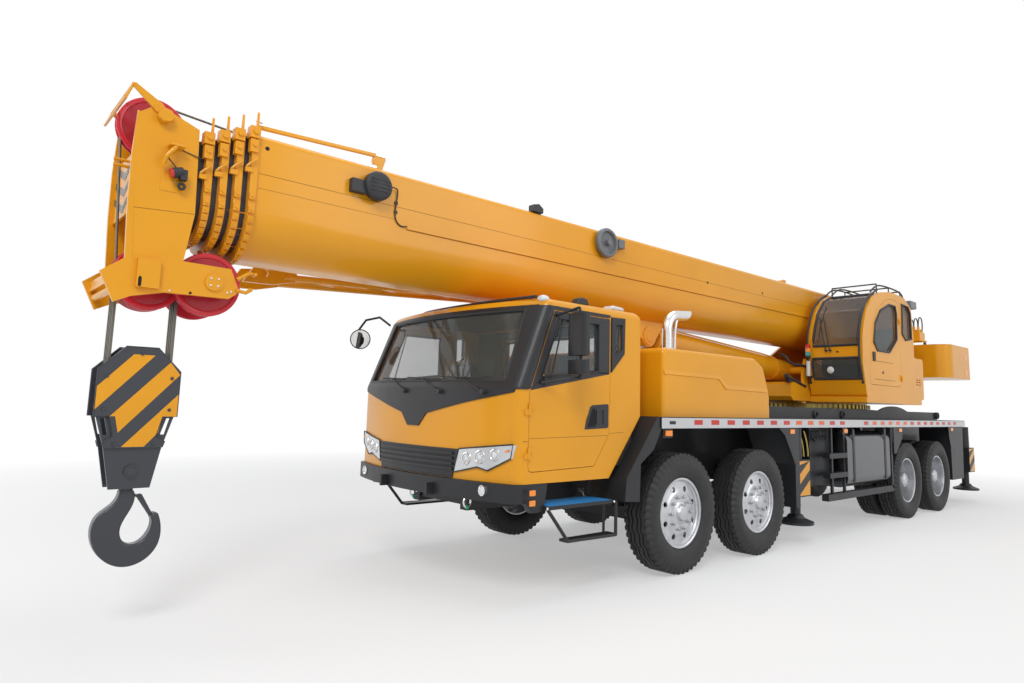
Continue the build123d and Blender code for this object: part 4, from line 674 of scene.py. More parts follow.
def cab_details():
    wiper = bmesh.new()
    for pivot, elbow, blade in (
        ((-0.14, 1.685), (-0.46, 1.8), ((-0.72, 1.812), (-0.2, 1.795))),
        ((0.4, 1.68), (0.1, 1.795), ((-0.16, 1.808), (0.36, 1.786))),
        ((0.905, 1.68), (0.62, 1.8), ((0.36, 1.812), (0.88, 1.79))),
    ):
        rod(wiper, on_glass(pivot, 0.006), on_glass(pivot, 0.045), 0.022, 14)
        rod(wiper, on_glass(pivot, 0.035), on_glass(elbow, 0.03), 0.0085, 8, 0.006)
        middle = [blade[0], ((blade[0][0] + blade[1][0]) / 2, (blade[0][1] + blade[1][1]) / 2), blade[1]]
        tube(wiper, [on_glass(p, 0.017) for p in middle], 0.007, 6)
        tube(wiper, [on_glass((p[0], p[1] - 0.004), 0.01) for p in middle], 0.0045, 6)
    piece("wipers", wiper, "carrier", "cabin_plastic")
    roof = bmesh.new()
    pipe(roof, [(-0.62, -4.0, 2.5), (-0.55, -4.01, 2.516), (0.6, -4.02, 2.52), (1.1, -3.99, 2.51)], 0.014, 8)
    for x in (-0.55, 0.0, 0.55, 1.05):
        rod(roof, (x, -4.005, 2.487), (x, -4.01, 2.518), 0.008, 8)
    piece("roof_bar", roof, "carrier", "cabin_plastic")
    box = bmesh.new()
    prism(box, [(-3.56, 2.488), (-3.4, 2.488), (-3.43, 2.548), (-3.5, 2.556), (-3.54, 2.54)], 1.09, 1.18)
    piece("roof_box", box, "carrier", "cabin_plastic", 0.008)
    white = bmesh.new()
    prism(white, [(-3.12, 2.488), (-2.9, 2.488), (-2.92, 2.524), (-3.08, 2.532)], 1.06, 1.18)
    piece("roof_vent", white, "carrier", (WHITE, "cabin_plastic"), 0.012)
    lamp = bmesh.new()
    ball(lamp, (1.155, -3.96, 2.487), 0.045, (1.2, 1.2, 0.75))
    piece("roof_lamp", lamp, "carrier", (LENS_WHITE, "lamp_glass"))
    bowl, lens, amber = bmesh.new(), bmesh.new(), bmesh.new()
    for sign in (1, -1):
        for x, z, radius in ((0.745, 1.125, 0.046), (0.885, 1.145, 0.05), (1.035, 1.172, 0.044)):
            at = Vector((sign * x, front_y(x, z) - 0.016, z))
            axis = (-sign * x * 0.25, 1, 0)
            torus(bowl, at, axis, radius, 0.006, 28)
            torus(bowl, at, axis, radius * 0.5, 0.003, 20)
            lathe(lens, [(-0.004, 0.0), (-0.002, 0.016), (0.002, 0.022)], at, axis, 20)
        at = Vector((sign * 1.135, front_y(1.135, 1.2) - 0.016, 1.205))
        prism(
            amber, [(at.x - 0.04, 1.192), (at.x + 0.04, 1.202), (at.x + 0.034, 1.222), (at.x - 0.036, 1.214)],
            at.y, at.y + 0.006, "y",
        )
        edge = [
            (0.655, 1.2), (0.92, 1.23), (1.2, 1.262), (1.182, 1.15), (0.965, 1.042), (0.86, 1.064),
            (0.606, 1.006),
        ]
        seal = bmesh.new()
        tube(seal, [(sign * x, front_y(x, z) - 0.013, z) for x, z in edge], 0.007, 6, closed=True)
        piece(f"headlight_seal_{'left' if sign > 0 else 'right'}", seal, "carrier", "cabin_plastic")
    piece("headlight_bowls", bowl, "carrier", "chrome")
    piece("headlight_bulbs", lens, "carrier", (LENS_WHITE, "lamp_glass"))
    piece("headlight_amber", amber, "carrier", (AMBER, "lamp_glass"), 0.003)
    mirror_glass, rim = bmesh.new(), bmesh.new()
    facing = Vector((0.88, -0.42, -0.22)).normalized()
    at = Vector((-1.478, -4.262, 2.258))
    lathe(
        rim, [(-0.028, 0.0), (-0.026, 0.07), (-0.006, 0.108), (0.006, 0.112), (0.008, 0.1), (0.004, 0.0)], at,
        facing, 36,
    )
    lathe(mirror_glass, [(0.012, 0.0), (0.011, 0.06), (0.0085, 0.101), (0.0, 0.101)], at, facing, 36)
    piece("corner_mirror_rim", rim, "carrier", "cabin_plastic")
    piece("corner_mirror_glass", mirror_glass, "carrier", "chrome")
    reveal = bmesh.new()
    for steps, z, half in ((12, 1.765, 1.1), (12, 2.405, 1.06)):
        row = [-half + 2 * half * k / steps for k in range(steps + 1)]
        tube(reveal, [(x, front_y(x, z) + 0.004, z + (0.01 if z < 2 else -0.01)) for x in row], 0.015, 8)
    for sign in (1, -1):
        tube(
            reveal,
            [(sign * x, front_y(x, z) + 0.004, z) for x, z in ((1.088, 1.77), (1.068, 2.09), (1.048, 2.4))],
            0.017, 8,
        )
    piece("windscreen_rubber", reveal, "carrier", "cabin_plastic")
    quarter = [(-3.13, 2.046), (-3.02, 2.108), (-3.02, 2.34), (-3.13, 2.33)]
    rear = [(-0.69, 1.71), (0.69, 1.71), (0.69, 2.29), (-0.69, 2.29)]
    small = bmesh.new()
    for x in (1.25, 1.238):
        tube(small, [(x, y, z) for y, z in quarter], 0.011, 6, closed=True)
    mirror(small)
    for y in (-2.762, -2.785):
        tube(small, [(x, y, z) for x, z in rear], 0.016, 6, closed=True)
    piece("small_window_rubber", small, "carrier", "cabin_plastic")
    lining = bmesh.new()
    cuboid(lining, (-1.19, -0.71), (-2.818, -2.812), (1.05, 2.42))
    cuboid(lining, (0.71, 1.19), (-2.818, -2.812), (1.05, 2.42))
    cuboid(lining, (-0.71, 0.71), (-2.818, -2.812), (1.05, 1.69))
    cuboid(lining, (-0.71, 0.71), (-2.818, -2.812), (2.31, 2.42))
    cuboid(lining, (-1.12, 1.12), (-4.0, -2.83), (2.43, 2.438))
    for sign in (1, -1):
        cuboid(lining, sided((1.19, 1.198), sign), (-3.13, -2.82), (1.05, 2.03))
    piece("cab_lining", lining, "carrier", (LINING, "cabin_plastic"))
    for label, sign in BOTH:
        door = f"door_{label}"
        handle = bmesh.new()
        outline = [
            (-3.524, 1.381), (-3.505, 1.46), (-3.455, 1.575), (-3.43, 1.592), (-3.225, 1.606),
            (-3.211, 1.595), (-3.212, 1.408), (-3.226, 1.392),
        ]
        prism(handle, outline, *sided((1.25, 1.2535), sign))
        for y in (-3.36, -3.27):
            cuboid(handle, sided((1.2535, 1.262), sign), (y - 0.018, y + 0.018), (1.43, 1.565))
        cuboid(handle, sided((1.2535, 1.259), sign), (-3.4, -3.235), (1.545, 1.568))
        piece(f"door_handle_{label}", handle, door, "cabin_plastic", 0.002)
        # A black sheet in the hollow of the door handle: painted shade.
        hollow = bmesh.new()
        prism(
            hollow, [(-3.49, 1.4), (-3.43, 1.56), (-3.385, 1.565), (-3.385, 1.405)],
            *sided((1.2534, 1.2542), sign),
        )
        piece(f"handle_recess_shade_{label}", hollow, door, (HOLE_SHADE, "cabin_plastic"))
        # A thin darker line along the door's pressed crease: painted shade.
        seam = bmesh.new()
        cuboid(seam, sided(CREASE_X, sign), (-4.17, -3.215), (1.3165, 1.3205), (1.0, "X"))
        piece(f"door_crease_shade_{label}", seam, door, (SEAM_SHADE, "paint"))
        # Thin darker lines along the cab shell's creases: painted shade.
        shell = bmesh.new()
        cuboid(shell, sided(CREASE_X, sign), (-3.19, -2.99), (1.347, 1.351), (3.0, "X"))
        cuboid(shell, sided(CREASE_X, sign), (-4.24, -4.18), (1.286, 1.29))
        piece(f"shell_crease_shade_{label}", shell, "carrier", (SEAM_SHADE, "paint"))
        frame_line = bmesh.new()
        window = [(-4.05, 1.812), (-3.846, 2.322), (-3.353, 2.322), (-3.353, 1.892)]
        for x, thick in ((1.252, 0.011), (1.238, 0.013), (1.216, 0.012)):
            tube(frame_line, [(sign * x, y, z) for y, z in window], thick, 8, closed=True)
        rod(frame_line, (sign * 1.251, -3.94, 1.81), (sign * 1.251, -3.8, 2.34), 0.007, 8)
        piece(f"window_rubber_{label}", frame_line, door, "cabin_plastic")
        black = bmesh.new()
        for outline in (
            [
                (-4.168, 1.7), (-4.152, 1.743), (-3.908, 2.381), (-3.849, 2.331), (-4.056, 1.803),
                (-4.05, 1.795),
            ],
            [(-3.908, 2.381), (-3.203, 2.381), (-3.346, 2.328), (-3.849, 2.328)],
            [(-3.203, 2.379), (-3.203, 1.878), (-3.342, 1.88), (-3.342, 2.333)],
            [(-4.168, 1.7), (-4.05, 1.803), (-3.342, 1.888), (-3.203, 1.884), (-3.203, 1.876)],
        ):
            prism(black, outline, *sided((1.25, 1.2512), sign))
        piece(f"door_window_trim_{label}", black, door, "cabin_plastic")
        cover = bmesh.new()
        strip = [
            (-4.2, 1.705), (-4.163, 1.716), (-4.161, 1.742), (-3.911, 2.391), (-3.2, 2.391), (-3.19, 2.418),
            (-3.955, 2.424), (-3.928, 2.396), (-4.18, 1.746),
        ]
        prism(cover, strip, *sided(TRIM_X, sign))
        cuboid(cover, sided(TRIM_X, sign), (-3.1885, -3.179), (1.89, 2.405))
        for x in (1.244, 1.2325, 1.221, 1.2095):
            edge = [
                (-4.1645, 1.742), (-3.9135, 2.389), (-3.89, 2.394), (-3.222, 2.394), (-3.186, 2.358),
                (-3.186, 1.9),
            ]
            tube(cover, [(sign * x, y, z) for y, z in edge], 0.005, 6)
        piece(f"window_surround_{label}", cover, "carrier", "cabin_plastic")
        inner = bmesh.new()
        prism(
            inner, [(-4.13, 1.1), (-3.42, 1.12), (-3.25, 1.36), (-3.25, 1.84), (-4.09, 1.75)],
            *sided((1.192, 1.199), sign),
        )
        piece(f"door_lining_{label}", inner, door, (LINING, "cabin_plastic"))
        grip = bmesh.new()
        tube(
            grip, [(sign * 1.255, -4.02, 1.74), (sign * 1.262, -4.02, 1.79), (sign * 1.262, -4.02, 1.81)],
            0.007, 6,
        )
        piece(f"window_catch_{label}", grip, door, "cabin_plastic")


def hood_details():
    band = bmesh.new()
    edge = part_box("engine_hood")[1][0]
    upper = [(-2.452, 1.957), (-1.456, 1.945), (-1.327, 1.85), (-0.47, 1.837)]
    lower = [(-2.452, 1.918), (-1.496, 1.908), (-1.368, 1.805), (-0.47, 1.797)]
    for sign in (1, -1):
        inner = [band.verts.new((sign * edge, y, z)) for y, z in upper]
        outer = [band.verts.new((sign * (edge + 0.01), y, z)) for y, z in lower]
        foot = [band.verts.new((sign * edge, y, z - 0.006)) for y, z in lower]
        for k in range(3):
            band.faces.new((inner[k], inner[k + 1], outer[k + 1], outer[k]))
            band.faces.new((outer[k], outer[k + 1], foot[k + 1], foot[k]))
        band.faces.new((inner[0], outer[0], foot[0]))
        band.faces.new((inner[-1], outer[-1], foot[-1]))
    piece("hood_crease", band, "carrier", "paint")
    thin = bmesh.new()
    pipe(thin, [(1.15, -2.075, 2.18), (1.15, -2.075, 2.44), (1.15, -2.03, 2.51)], 0.017, 10)
    rod(thin, (1.15, -2.2, 2.176), (1.15, -2.2, 2.19), 0.075, 24)
    piece("exhaust_drain", thin, "carrier", "chrome")


# Boom
BOOM_HALF = (0.4, 0.364, 0.329, 0.295, 0.262)
BOOM_TOP = (3.53, 3.496, 3.463, 3.431, 3.4)
BOOM_LOW = (2.62, 2.654, 2.687, 2.719, 2.75)
COLLAR_Y = (-6.236, -6.33, -6.422, -6.516)
BOOM_BODIES = ("boom_base", "boom_2", "boom_3", "boom_4", "boom_5")


def boom_side(index, proud):
    """Places (x, z, angle of the normal) down the left side of a section and round its belly."""
    half = BOOM_HALF[index] + proud
    low = BOOM_LOW[index] - proud
    radius = 0.8 * half
    belly = low + radius
    rows = [(half, z, 0.0) for z in (BOOM_TOP[index] - 0.06, belly + 0.22, belly + 0.1, belly)]
    for k in range(1, 9):
        angle = pi / 2 * k / 8
        rows.append((half - radius + radius * cos(angle), belly - radius * sin(angle), -angle))
    return rows


def section_ring(bm, index, proud, y0, y1):
    """A thin sleeve round a section."""
    half = BOOM_HALF[index] + proud
    rows = [(x, z) for x, z, _ in boom_side(index, proud)[1:]]
    outline = [(0, BOOM_TOP[index] + proud), (half, BOOM_TOP[index] + proud)] + rows
    outline += [(-x, z) for x, z in outline[::-1]][:-1]
    near = [bm.verts.new((x, y0, z)) for x, z in outline]
    far = [bm.verts.new((x, y1, z)) for x, z in outline]
    for k in range(len(outline)):
        n = (k + 1) % len(outline)
        bm.faces.new((near[k], near[n], far[n], far[k]))


COLLAR_PROUD = 0.022
ROPE = 0.009


def boom_details():
    # A dark sleeve on the exposed length of each inner section, between its own collar and the collar round
    # it.
    for index in range(1, 5):
        dark = bmesh.new()
        front = COLLAR_Y[index] + 0.05 if index < 4 else -6.573
        section_ring(dark, index, 0.0012, front + 0.001, COLLAR_Y[index - 1] - 0.001)
        piece(f"section_dark_{index + 1}", dark, BOOM_BODIES[index], (SATIN_BLACK, "chassis_black"))
    for index, y in enumerate(COLLAR_Y):
        body = BOOM_BODIES[index]
        pads, tips = bmesh.new(), bmesh.new()
        top = BOOM_TOP[index] + COLLAR_PROUD
        rows = boom_side(index, COLLAR_PROUD)
        for sign in (1, -1):
            half = BOOM_HALF[index] + COLLAR_PROUD
            tip = [
                (half - 0.03, top - 0.03), (half + 0.004, top - 0.03), (half - 0.006, top + 0.135),
                (half - 0.014, top + 0.135),
            ]
            prism(tips, [(sign * x, z) for x, z in tip], y + 0.02, y + 0.036, "y")
            cuboid(
                pads, sided((half - 0.05, half + 0.026), sign), (y - 0.03, y + 0.04),
                (top - 0.075, top + 0.012),
            )
            rod(
                pads, (sign * (half + 0.026), y + 0.005, top - 0.03),
                (sign * (half + 0.04), y + 0.005, top - 0.03), 0.017, 12,
            )
            cuboid(
                pads, sided((half - 0.03, half + 0.018), sign), (y - 0.022, y + 0.036),
                (top - 0.18, top - 0.085),
            )
            rod(
                pads, (sign * (half + 0.018), y + 0.006, top - 0.13),
                (sign * (half + 0.03), y + 0.006, top - 0.13), 0.012, 12,
            )
            hook = [
                (sign * (half + 0.008), y - 0.035, top - 0.3),
                (sign * (half + 0.018), y - 0.02, top - 0.28),
                (sign * (half + 0.018), y + 0.03, top - 0.235),
            ]
            tube(pads, hook, 0.009, 6)
            cuboid(
                pads, sided((half - 0.01, half + 0.012), sign), (y - 0.04, y + 0.012),
                (top - 0.335, top - 0.3),
            )
            for x, z, angle in rows[2:]:
                matrix = Matrix.Translation(
                    (sign * (x + 0.004 * cos(angle)), y + 0.02, z + 0.004 * sin(angle))
                )
                matrix = matrix @ Matrix.Rotation(-sign * angle, 4, "Y")
                bmesh.ops.create_cube(
                    pads, size=1.0, matrix=matrix @ Matrix.Diagonal((0.03, 0.042, 0.046, 1)),
                )
                bolt = matrix @ Matrix.Translation((sign * 0.018, 0, 0)) @ Matrix.Rotation(pi / 2, 4, "Y")
                bmesh.ops.create_cone(
                    pads, cap_ends=True, segments=6, radius1=0.009, radius2=0.009, depth=0.014, matrix=bolt,
                )
        piece(f"collar_pads_{index + 1}", pads, body, "paint")
        piece(f"collar_tips_{index + 1}", tips, body, "paint", 0.002)
    # Thin darker lines on the boom's sides: painted shade along its seams, and a painted shadow under the
    # cable tray.
    line = bmesh.new()
    cuboid(line, (0.3995, 0.4008), (-6.17, 4.8), (3.2285, 3.2325))
    cuboid(line, (0.3995, 0.4006), (-6.17, -5.0), (3.118, 3.121))
    cuboid(line, (0.3995, 0.4006), (-4.885, 4.2), (3.046, 3.051))
    mirror(line)
    piece("boom_seam_shade", line, "boom_base", (SEAM_SHADE, "paint"))
    # Black discs on the boom's sides where it has holes: painted shade.
    dots = bmesh.new()
    for y, z in ((-6.121, 3.434), (-0.3, 3.23), (1.1, 3.27)):
        for sign in (1, -1):
            rod(dots, (sign * 0.398, y, z), (sign * 0.402, y, z), 0.016, 16)
    piece("boom_hole_shade", dots, "boom_base", (HOLE_SHADE, "chassis_black"))
    rail = bmesh.new()
    x = 0.345
    prism(rail, [(-6.2, 3.585), (-6.19, 3.615), (-5.15, 3.665), (-5.145, 3.635)], x - 0.014, x + 0.014)
    prism(
        rail, [(-5.2, 3.66), (-5.14, 3.665), (-5.1, 3.63), (-5.13, 3.525), (-5.2, 3.525), (-5.22, 3.6)],
        x - 0.02, x + 0.02,
    )
    cuboid(rail, (x - 0.012, x + 0.012), (-6.2, -6.16), (3.52, 3.6))
    piece("guide_rail", rail, "boom_base", "paint", 0.004)
    clamp = bmesh.new()
    cuboid(clamp, (x - 0.024, x + 0.024), (-5.2, -5.1), (3.64, 3.676))
    cuboid(clamp, (x - 0.05, x + 0.03), (-5.27, -5.19), (3.528, 3.548))
    torus(clamp, (0.385, -6.19, 3.625), (0.3, 0.1, 1), 0.022, 0.005)
    piece("guide_rail_clamps", clamp, "boom_base", "chrome", 0.003)
    boom_reels()


BLACK_REEL = (0.4, -5.215, 3.345)
GREY_REEL = (0.415, -2.345, 3.385)


def boom_reels():
    reel = bmesh.new()
    x, y, z = BLACK_REEL
    lathe(
        reel,
        [
            (0.0, 0.0), (0.0, 0.075), (0.018, 0.118), (0.03, 0.122), (0.085, 0.122), (0.098, 0.112),
            (0.108, 0.085), (0.112, 0.0),
        ],
        BLACK_REEL,
        turns=40,
    )
    for k in range(4):
        low = z - 0.055 + 0.032 * k
        cuboid(reel, (x + 0.108, x + 0.114), (y - 0.09, y + 0.09), (low, low + 0.008))
    cuboid(reel, (0.4, 0.46), (-5.445, -5.31), (3.26, 3.37))
    for z in (3.275, 3.345):
        rod(reel, (0.43, -5.44, z), (0.43, -5.3, z), 0.016, 10)
    piece("cable_reel_black", reel, "boom_base", "cabin_plastic", 0.003)
    lead = bmesh.new()
    pipe(
        lead,
        [
            (0.44, -5.1, 3.375), (0.43, -5.02, 3.385), (0.412, -4.995, 3.36), (0.408, -5.005, 3.25),
            (0.408, -5.015, 3.15), (0.41, -4.99, 3.09), (0.41, -4.94, 3.06), (0.41, -4.895, 3.075),
        ],
        0.006, 8,
    )
    for z in (3.26, 3.18):
        cuboid(lead, (0.4, 0.412), (-5.02, -4.99), (z - 0.012, z + 0.012))
    piece("boom_cable", lead, "boom_base", "cabin_plastic")
    tray = bmesh.new()
    cuboid(tray, (0.4, 0.412), (-4.885, 2.47), (3.052, 3.086))
    for k in range(14):
        rod(tray, (0.4, -4.75 + 0.55 * k, 3.069), (0.4145, -4.75 + 0.55 * k, 3.069), 0.009, 8)
    piece("cable_tray", tray, "boom_base", "paint", 0.002)
    grey = bmesh.new()
    lathe(
        grey,
        [
            (0.0, 0.03), (0.0, 0.155), (0.012, 0.165), (0.05, 0.165), (0.062, 0.155), (0.062, 0.13),
            (0.03, 0.12), (0.03, 0.03),
        ],
        GREY_REEL, turns=40,
    )
    _, y, z = GREY_REEL
    rod(grey, (0.4, y, z), (0.5, y, z), 0.035, 20)
    for k in range(6):
        angle = tau * k / 6
        rod(grey, (0.44, y, z), (0.44, y + 0.14 * cos(angle), z + 0.14 * sin(angle)), 0.008, 6)
    cuboid(grey, (0.4, 0.47), (-2.16, -2.06), (3.36, 3.46))
    piece("cable_reel_grey", grey, "boom_base", (GREY, "brushed"), 0.002)
    lamp = bmesh.new()
    prism(lamp, [(-3.42, 3.53), (-3.42, 3.6), (-3.34, 3.62), (-3.28, 3.58), (-3.28, 3.53)], 0.33, 0.41)
    cuboid(lamp, (0.35, 0.39), (-3.37, -3.31), (3.48, 3.54))
    piece("boom_lamp", lamp, "boom_base", "cabin_plastic", 0.005)
    rope = bmesh.new()
    tube(rope, [(0.0, -6.24, 3.64), (0.0, 4.93, 3.615)], ROPE)
    piece("rope_over_boom", rope, "boom_base", "rope_steel")
    roller = bmesh.new()
    for y in (-6.15, -2.0, 2.2):
        rod(roller, (-0.16, y, 3.62), (0.16, y, 3.62), 0.032, 16)
        for x in (-0.17, 0.17):
            cuboid(roller, (x - 0.008, x + 0.008), (y - 0.04, y + 0.04), (3.525, 3.65))
    piece("rope_rollers", roller, "boom_base", "paint", 0.003)


def head_details():
    rope = bmesh.new()
    tube(rope, [(0.0, -6.79, 3.69), (0.0, -6.24, 3.64)], ROPE)
    tube(rope, [(0.0, -7.012, 3.47), (0.0, -6.952, 2.46)], ROPE)
    piece("rope_on_head", rope, "boom_5", "rope_steel")
    arm = bmesh.new()
    prism(
        arm, [(-6.86, 3.505), (-6.8, 3.54), (-6.83, 3.575), (-7.005, 3.675), (-7.03, 3.66), (-7.015, 3.64)],
        0.32, 0.336,
    )
    rod(arm, (0.328, -7.018, 3.66), (0.328, -7.055, 3.555), 0.009, 8)
    prism(
        arm,
        [
            (-6.862, 3.47), (-6.825, 3.445), (-6.775, 3.455), (-6.755, 3.49), (-6.775, 3.53), (-6.82, 3.54),
            (-6.855, 3.515),
        ],
        0.336, 0.372,
    )
    mirror(arm)
    rod(arm, (-0.34, -7.018, 3.66), (0.34, -7.018, 3.66), 0.011, 10)
    rod(arm, (-0.34, -7.055, 3.555), (0.34, -7.055, 3.555), 0.01, 10)
    piece("rope_guard_top", arm, "boom_5", "paint", 0.003)
    cheek = bmesh.new()
    edge = [
        (-6.958, 3.488), (-6.972, 3.495), (-6.984, 3.19), (-6.98, 2.85), (-6.962, 2.455), (-6.915, 2.43),
        (-6.952, 2.941),
    ]
    prism(cheek, edge, 0.29, 0.3194)
    mirror(cheek)
    piece("cheek_edges", cheek, "boom_5", "paint")
    bracket = bmesh.new()
    cuboid(bracket, (0.32, 0.4), (-6.775, -6.675), (3.285, 3.3))
    tube(bracket, [(0.38, -6.73, 3.288), (0.39, -6.79, 3.2), (0.36, -6.8, 3.15)], 0.016, 8)
    cuboid(bracket, (0.32, 0.325), (-6.8, -6.65), (2.975, 3.19))
    for z in (3.03, 2.99):
        rod(bracket, (0.1, -6.955, z + 0.16), (0.1, -7.05, z + 0.16), 0.012, 8)
    piece("head_bracket", bracket, "boom_5", "paint", 0.003)
    lamp, lens = bmesh.new(), bmesh.new()
    rod(lamp, (0.36, -6.735, 3.1), (0.36, -6.672, 3.12), 0.036, 20)
    cuboid(lamp, (0.335, 0.385), (-6.69, -6.645), (3.06, 3.135))
    torus(lamp, (0.355, -6.672, 3.02), (1, 0, 0), 0.02, 0.01)
    rod(lens, (0.36, -6.752, 3.095), (0.36, -6.734, 3.1), 0.033, 20)
    piece("head_lamp", lamp, "boom_5", "cabin_plastic", 0.003)
    piece("head_lamp_lens", lens, "boom_5", (RED_LENS, "sheave_red"))
    wire = bmesh.new()
    pipe(wire, [(0.325, -6.77, 3.22), (0.325, -6.7, 3.14), (0.325, -6.685, 3.13)], 0.004, 6)
    pipe(wire, [(0.325, -6.69, 3.29), (0.33, -6.6, 3.265), (0.33, -6.55, 3.255)], 0.004, 6)
    piece("head_wire", wire, "boom_5", "cabin_plastic")
    # A thin darker line on each side plate of the head: painted shade along a seam.
    seam = bmesh.new()
    prism(seam, [(-6.945, 2.8205), (-6.563, 2.8485), (-6.563, 2.8525), (-6.945, 2.8245)], 0.3195, 0.3208)
    mirror(seam)
    piece("head_seam_shade", seam, "boom_5", (SEAM_SHADE, "paint"))
    chevron = bmesh.new()
    for low in (2.835, 2.955, 3.075):
        for sign in (1, -1):
            prism(
                chevron,
                [
                    (sign * 0.0, low), (sign * 0.285, low + 0.115), (sign * 0.285, low + 0.165),
                    (sign * 0.0, low + 0.055),
                ],
                -6.9515,
                -6.9495,
                "y",
            )
    piece("head_chevrons", chevron, "boom_5", (SATIN_BLACK, "chassis_black"))
    bolts = bmesh.new()
    for k in range(4):
        angle = tau * (k + 0.5) / 4
        at = Vector((0.333, -6.395 + 0.036 * cos(angle), 2.387 + 0.036 * sin(angle)))
        rod(bolts, at, at + Vector((0.007, 0, 0)), 0.0075, 8)
    for y, z in ((-6.3, 2.325), (-6.275, 2.335), (-6.68, 2.29)):
        rod(bolts, (0.319, y, z), (0.327, y, z), 0.007, 8)
    mirror(bolts)
    piece("head_bolts", bolts, "boom_5", "chrome")
    # Black sheets where the head has a slot and a hole: painted shade.
    slots = bmesh.new()
    outline = [
        (-6.879, 2.3), (-6.869, 2.288), (-6.859, 2.3), (-6.859, 2.352), (-6.869, 2.364), (-6.879, 2.352),
    ]
    prism(slots, outline, 0.3515, 0.3532)
    rod(slots, (0.3195, -6.545, 2.292), (0.3212, -6.545, 2.292), 0.01, 12)
    mirror(slots)
    piece("head_slot_shade", slots, "boom_5", (HOLE_SHADE, "chassis_black"))
    ears = bmesh.new()
    x = 0.325
    tube(ears, [(x, -6.24, 2.43), (x, -6.15, 2.49), (x, -6.11, 2.475)], 0.014, 8)
    tube(ears, [(x, -6.24, 2.35), (x, -6.17, 2.34), (x, -6.13, 2.37)], 0.014, 8)
    rod(ears, (0.3, -6.12, 2.48), (0.36, -6.12, 2.48), 0.012, 10)
    mirror(ears)
    piece("head_ears", ears, "boom_5", "paint")


def sheave_details():
    """Raised rims and hubs on the faces that show, with a darker red web between them as painted shade."""
    rims, webs = bmesh.new(), bmesh.new()
    faces = [(-6.816, 3.489, 0.025, 1), (-6.816, 3.489, -0.025, -1)]
    faces += [(-6.755, 2.4, 0.084, 1), (-6.755, 2.4, -0.084, -1)]
    for sign in (1, -1):
        faces += [(-6.395, 2.387, sign * 0.178, 1), (-6.395, 2.387, sign * 0.132, -1)]
    for y, z, x, way in faces:
        at = (x, y, z)
        lathe(
            rims,
            [(0.0, 0.192), (0.006, 0.196), (0.01, 0.206), (0.01, 0.224), (0.004, 0.2295), (0.0, 0.2295)], at,
            (way, 0, 0), 56,
        )
        lathe(rims, [(0.0, 0.075), (0.012, 0.072), (0.014, 0.05), (0.0, 0.046)], at, (way, 0, 0), 32)
        lathe(webs, [(0.0008, 0.0755), (0.0008, 0.1915)], at, (way, 0, 0), 56)
    piece("sheave_rims", rims, "boom_5", "sheave_red")
    piece("sheave_web_shade", webs, "boom_5", (SHEAVE_WEB_SHADE, "sheave_red"))


FALLS_Y = -6.755


def hook_block_details():
    """Diagonal yellow bands on the cheek plates, their bolts, and the latch of the hook."""
    strips = [
        [(-0.252, 1.63), (-0.252, 1.478), (0.082, 1.855), (-0.05, 1.856)],
        [(-0.16, 1.434), (-0.128, 1.434), (-0.104, 1.325), (0.252, 1.728), (0.184, 1.812)],
        [(-0.078, 1.228), (0.06, 1.228), (0.142, 1.325), (0.163, 1.434), (0.253, 1.434), (0.253, 1.59)],
    ]
    yellow = bmesh.new()
    for strip in strips:
        flat = [(FALLS_Y + y, z) for y, z in strip]
        prism(yellow, flat, 0.1042, 0.1056)
    mirror(yellow)
    piece("block_bands", yellow, "hook_block", "paint")
    edge = bmesh.new()
    outline = [
        (0.1, 1.908), (0.255, 1.748), (0.255, 1.433), (0.163, 1.433), (0.13, 1.3), (0.19, 1.262),
        (0.18, 1.226),
    ]
    loop = [(FALLS_Y + y, z) for y, z in outline] + [(FALLS_Y - y, z) for y, z in outline[::-1]]
    points = [(0.104, y, z) for y, z in loop]
    tube(edge, points, 0.004, 6, closed=True)
    mirror(edge)
    piece("block_edges", edge, "hook_block", "block_grey")
    bolts = bmesh.new()
    for y, z in (
        (-0.2, 1.7), (0.2, 1.7), (-0.2, 1.48), (0.2, 1.48), (0.0, 1.86), (0.12, 1.25), (-0.12, 1.25),
    ):
        rod(bolts, (0.104, FALLS_Y + y, z), (0.113, FALLS_Y + y, z), 0.012, 6)
    rod(bolts, (0.104, FALLS_Y, 1.068), (0.109, FALLS_Y, 1.068), 0.028, 20)
    mirror(bolts)
    piece("block_bolts", bolts, "hook_block", "block_grey", 0.001)
    latch = bmesh.new()
    for x in (-0.018, 0.012):
        prism(
            latch,
            [
                (FALLS_Y + 0.06, 0.9), (FALLS_Y + 0.098, 0.902), (FALLS_Y + 0.19, 0.738),
                (FALLS_Y + 0.178, 0.726), (FALLS_Y + 0.168, 0.736),
            ],
            x, x + 0.006,
        )
    cuboid(latch, (-0.018, 0.018), (FALLS_Y + 0.168, FALLS_Y + 0.188), (0.727, 0.742))
    rod(latch, (-0.03, FALLS_Y + 0.066, 0.893), (0.03, FALLS_Y + 0.066, 0.893), 0.01, 12)
    piece("hook_latch", latch, "hook", "block_grey")


# Operator's cab and turntable
OP_OUT = 1.32
OP_EDGE = [
    (2.285, 2.03), (2.178, 2.3), (2.19, 2.69), (2.255, 2.9), (2.375, 3.13), (2.6, 3.345), (2.92, 3.465),
]
OP_WINDOW = [
    (2.62, 2.64), (2.7, 2.93), (2.91, 3.14), (3.27, 3.27), (3.5, 3.27), (3.54, 3.156), (3.52, 2.747),
    (3.203, 2.524), (2.742, 2.522),
]
OP_REAR = [(3.76, 2.853), (3.793, 3.34), (4.06, 3.32), (4.14, 3.226), (4.15, 2.8), (3.892, 2.767)]


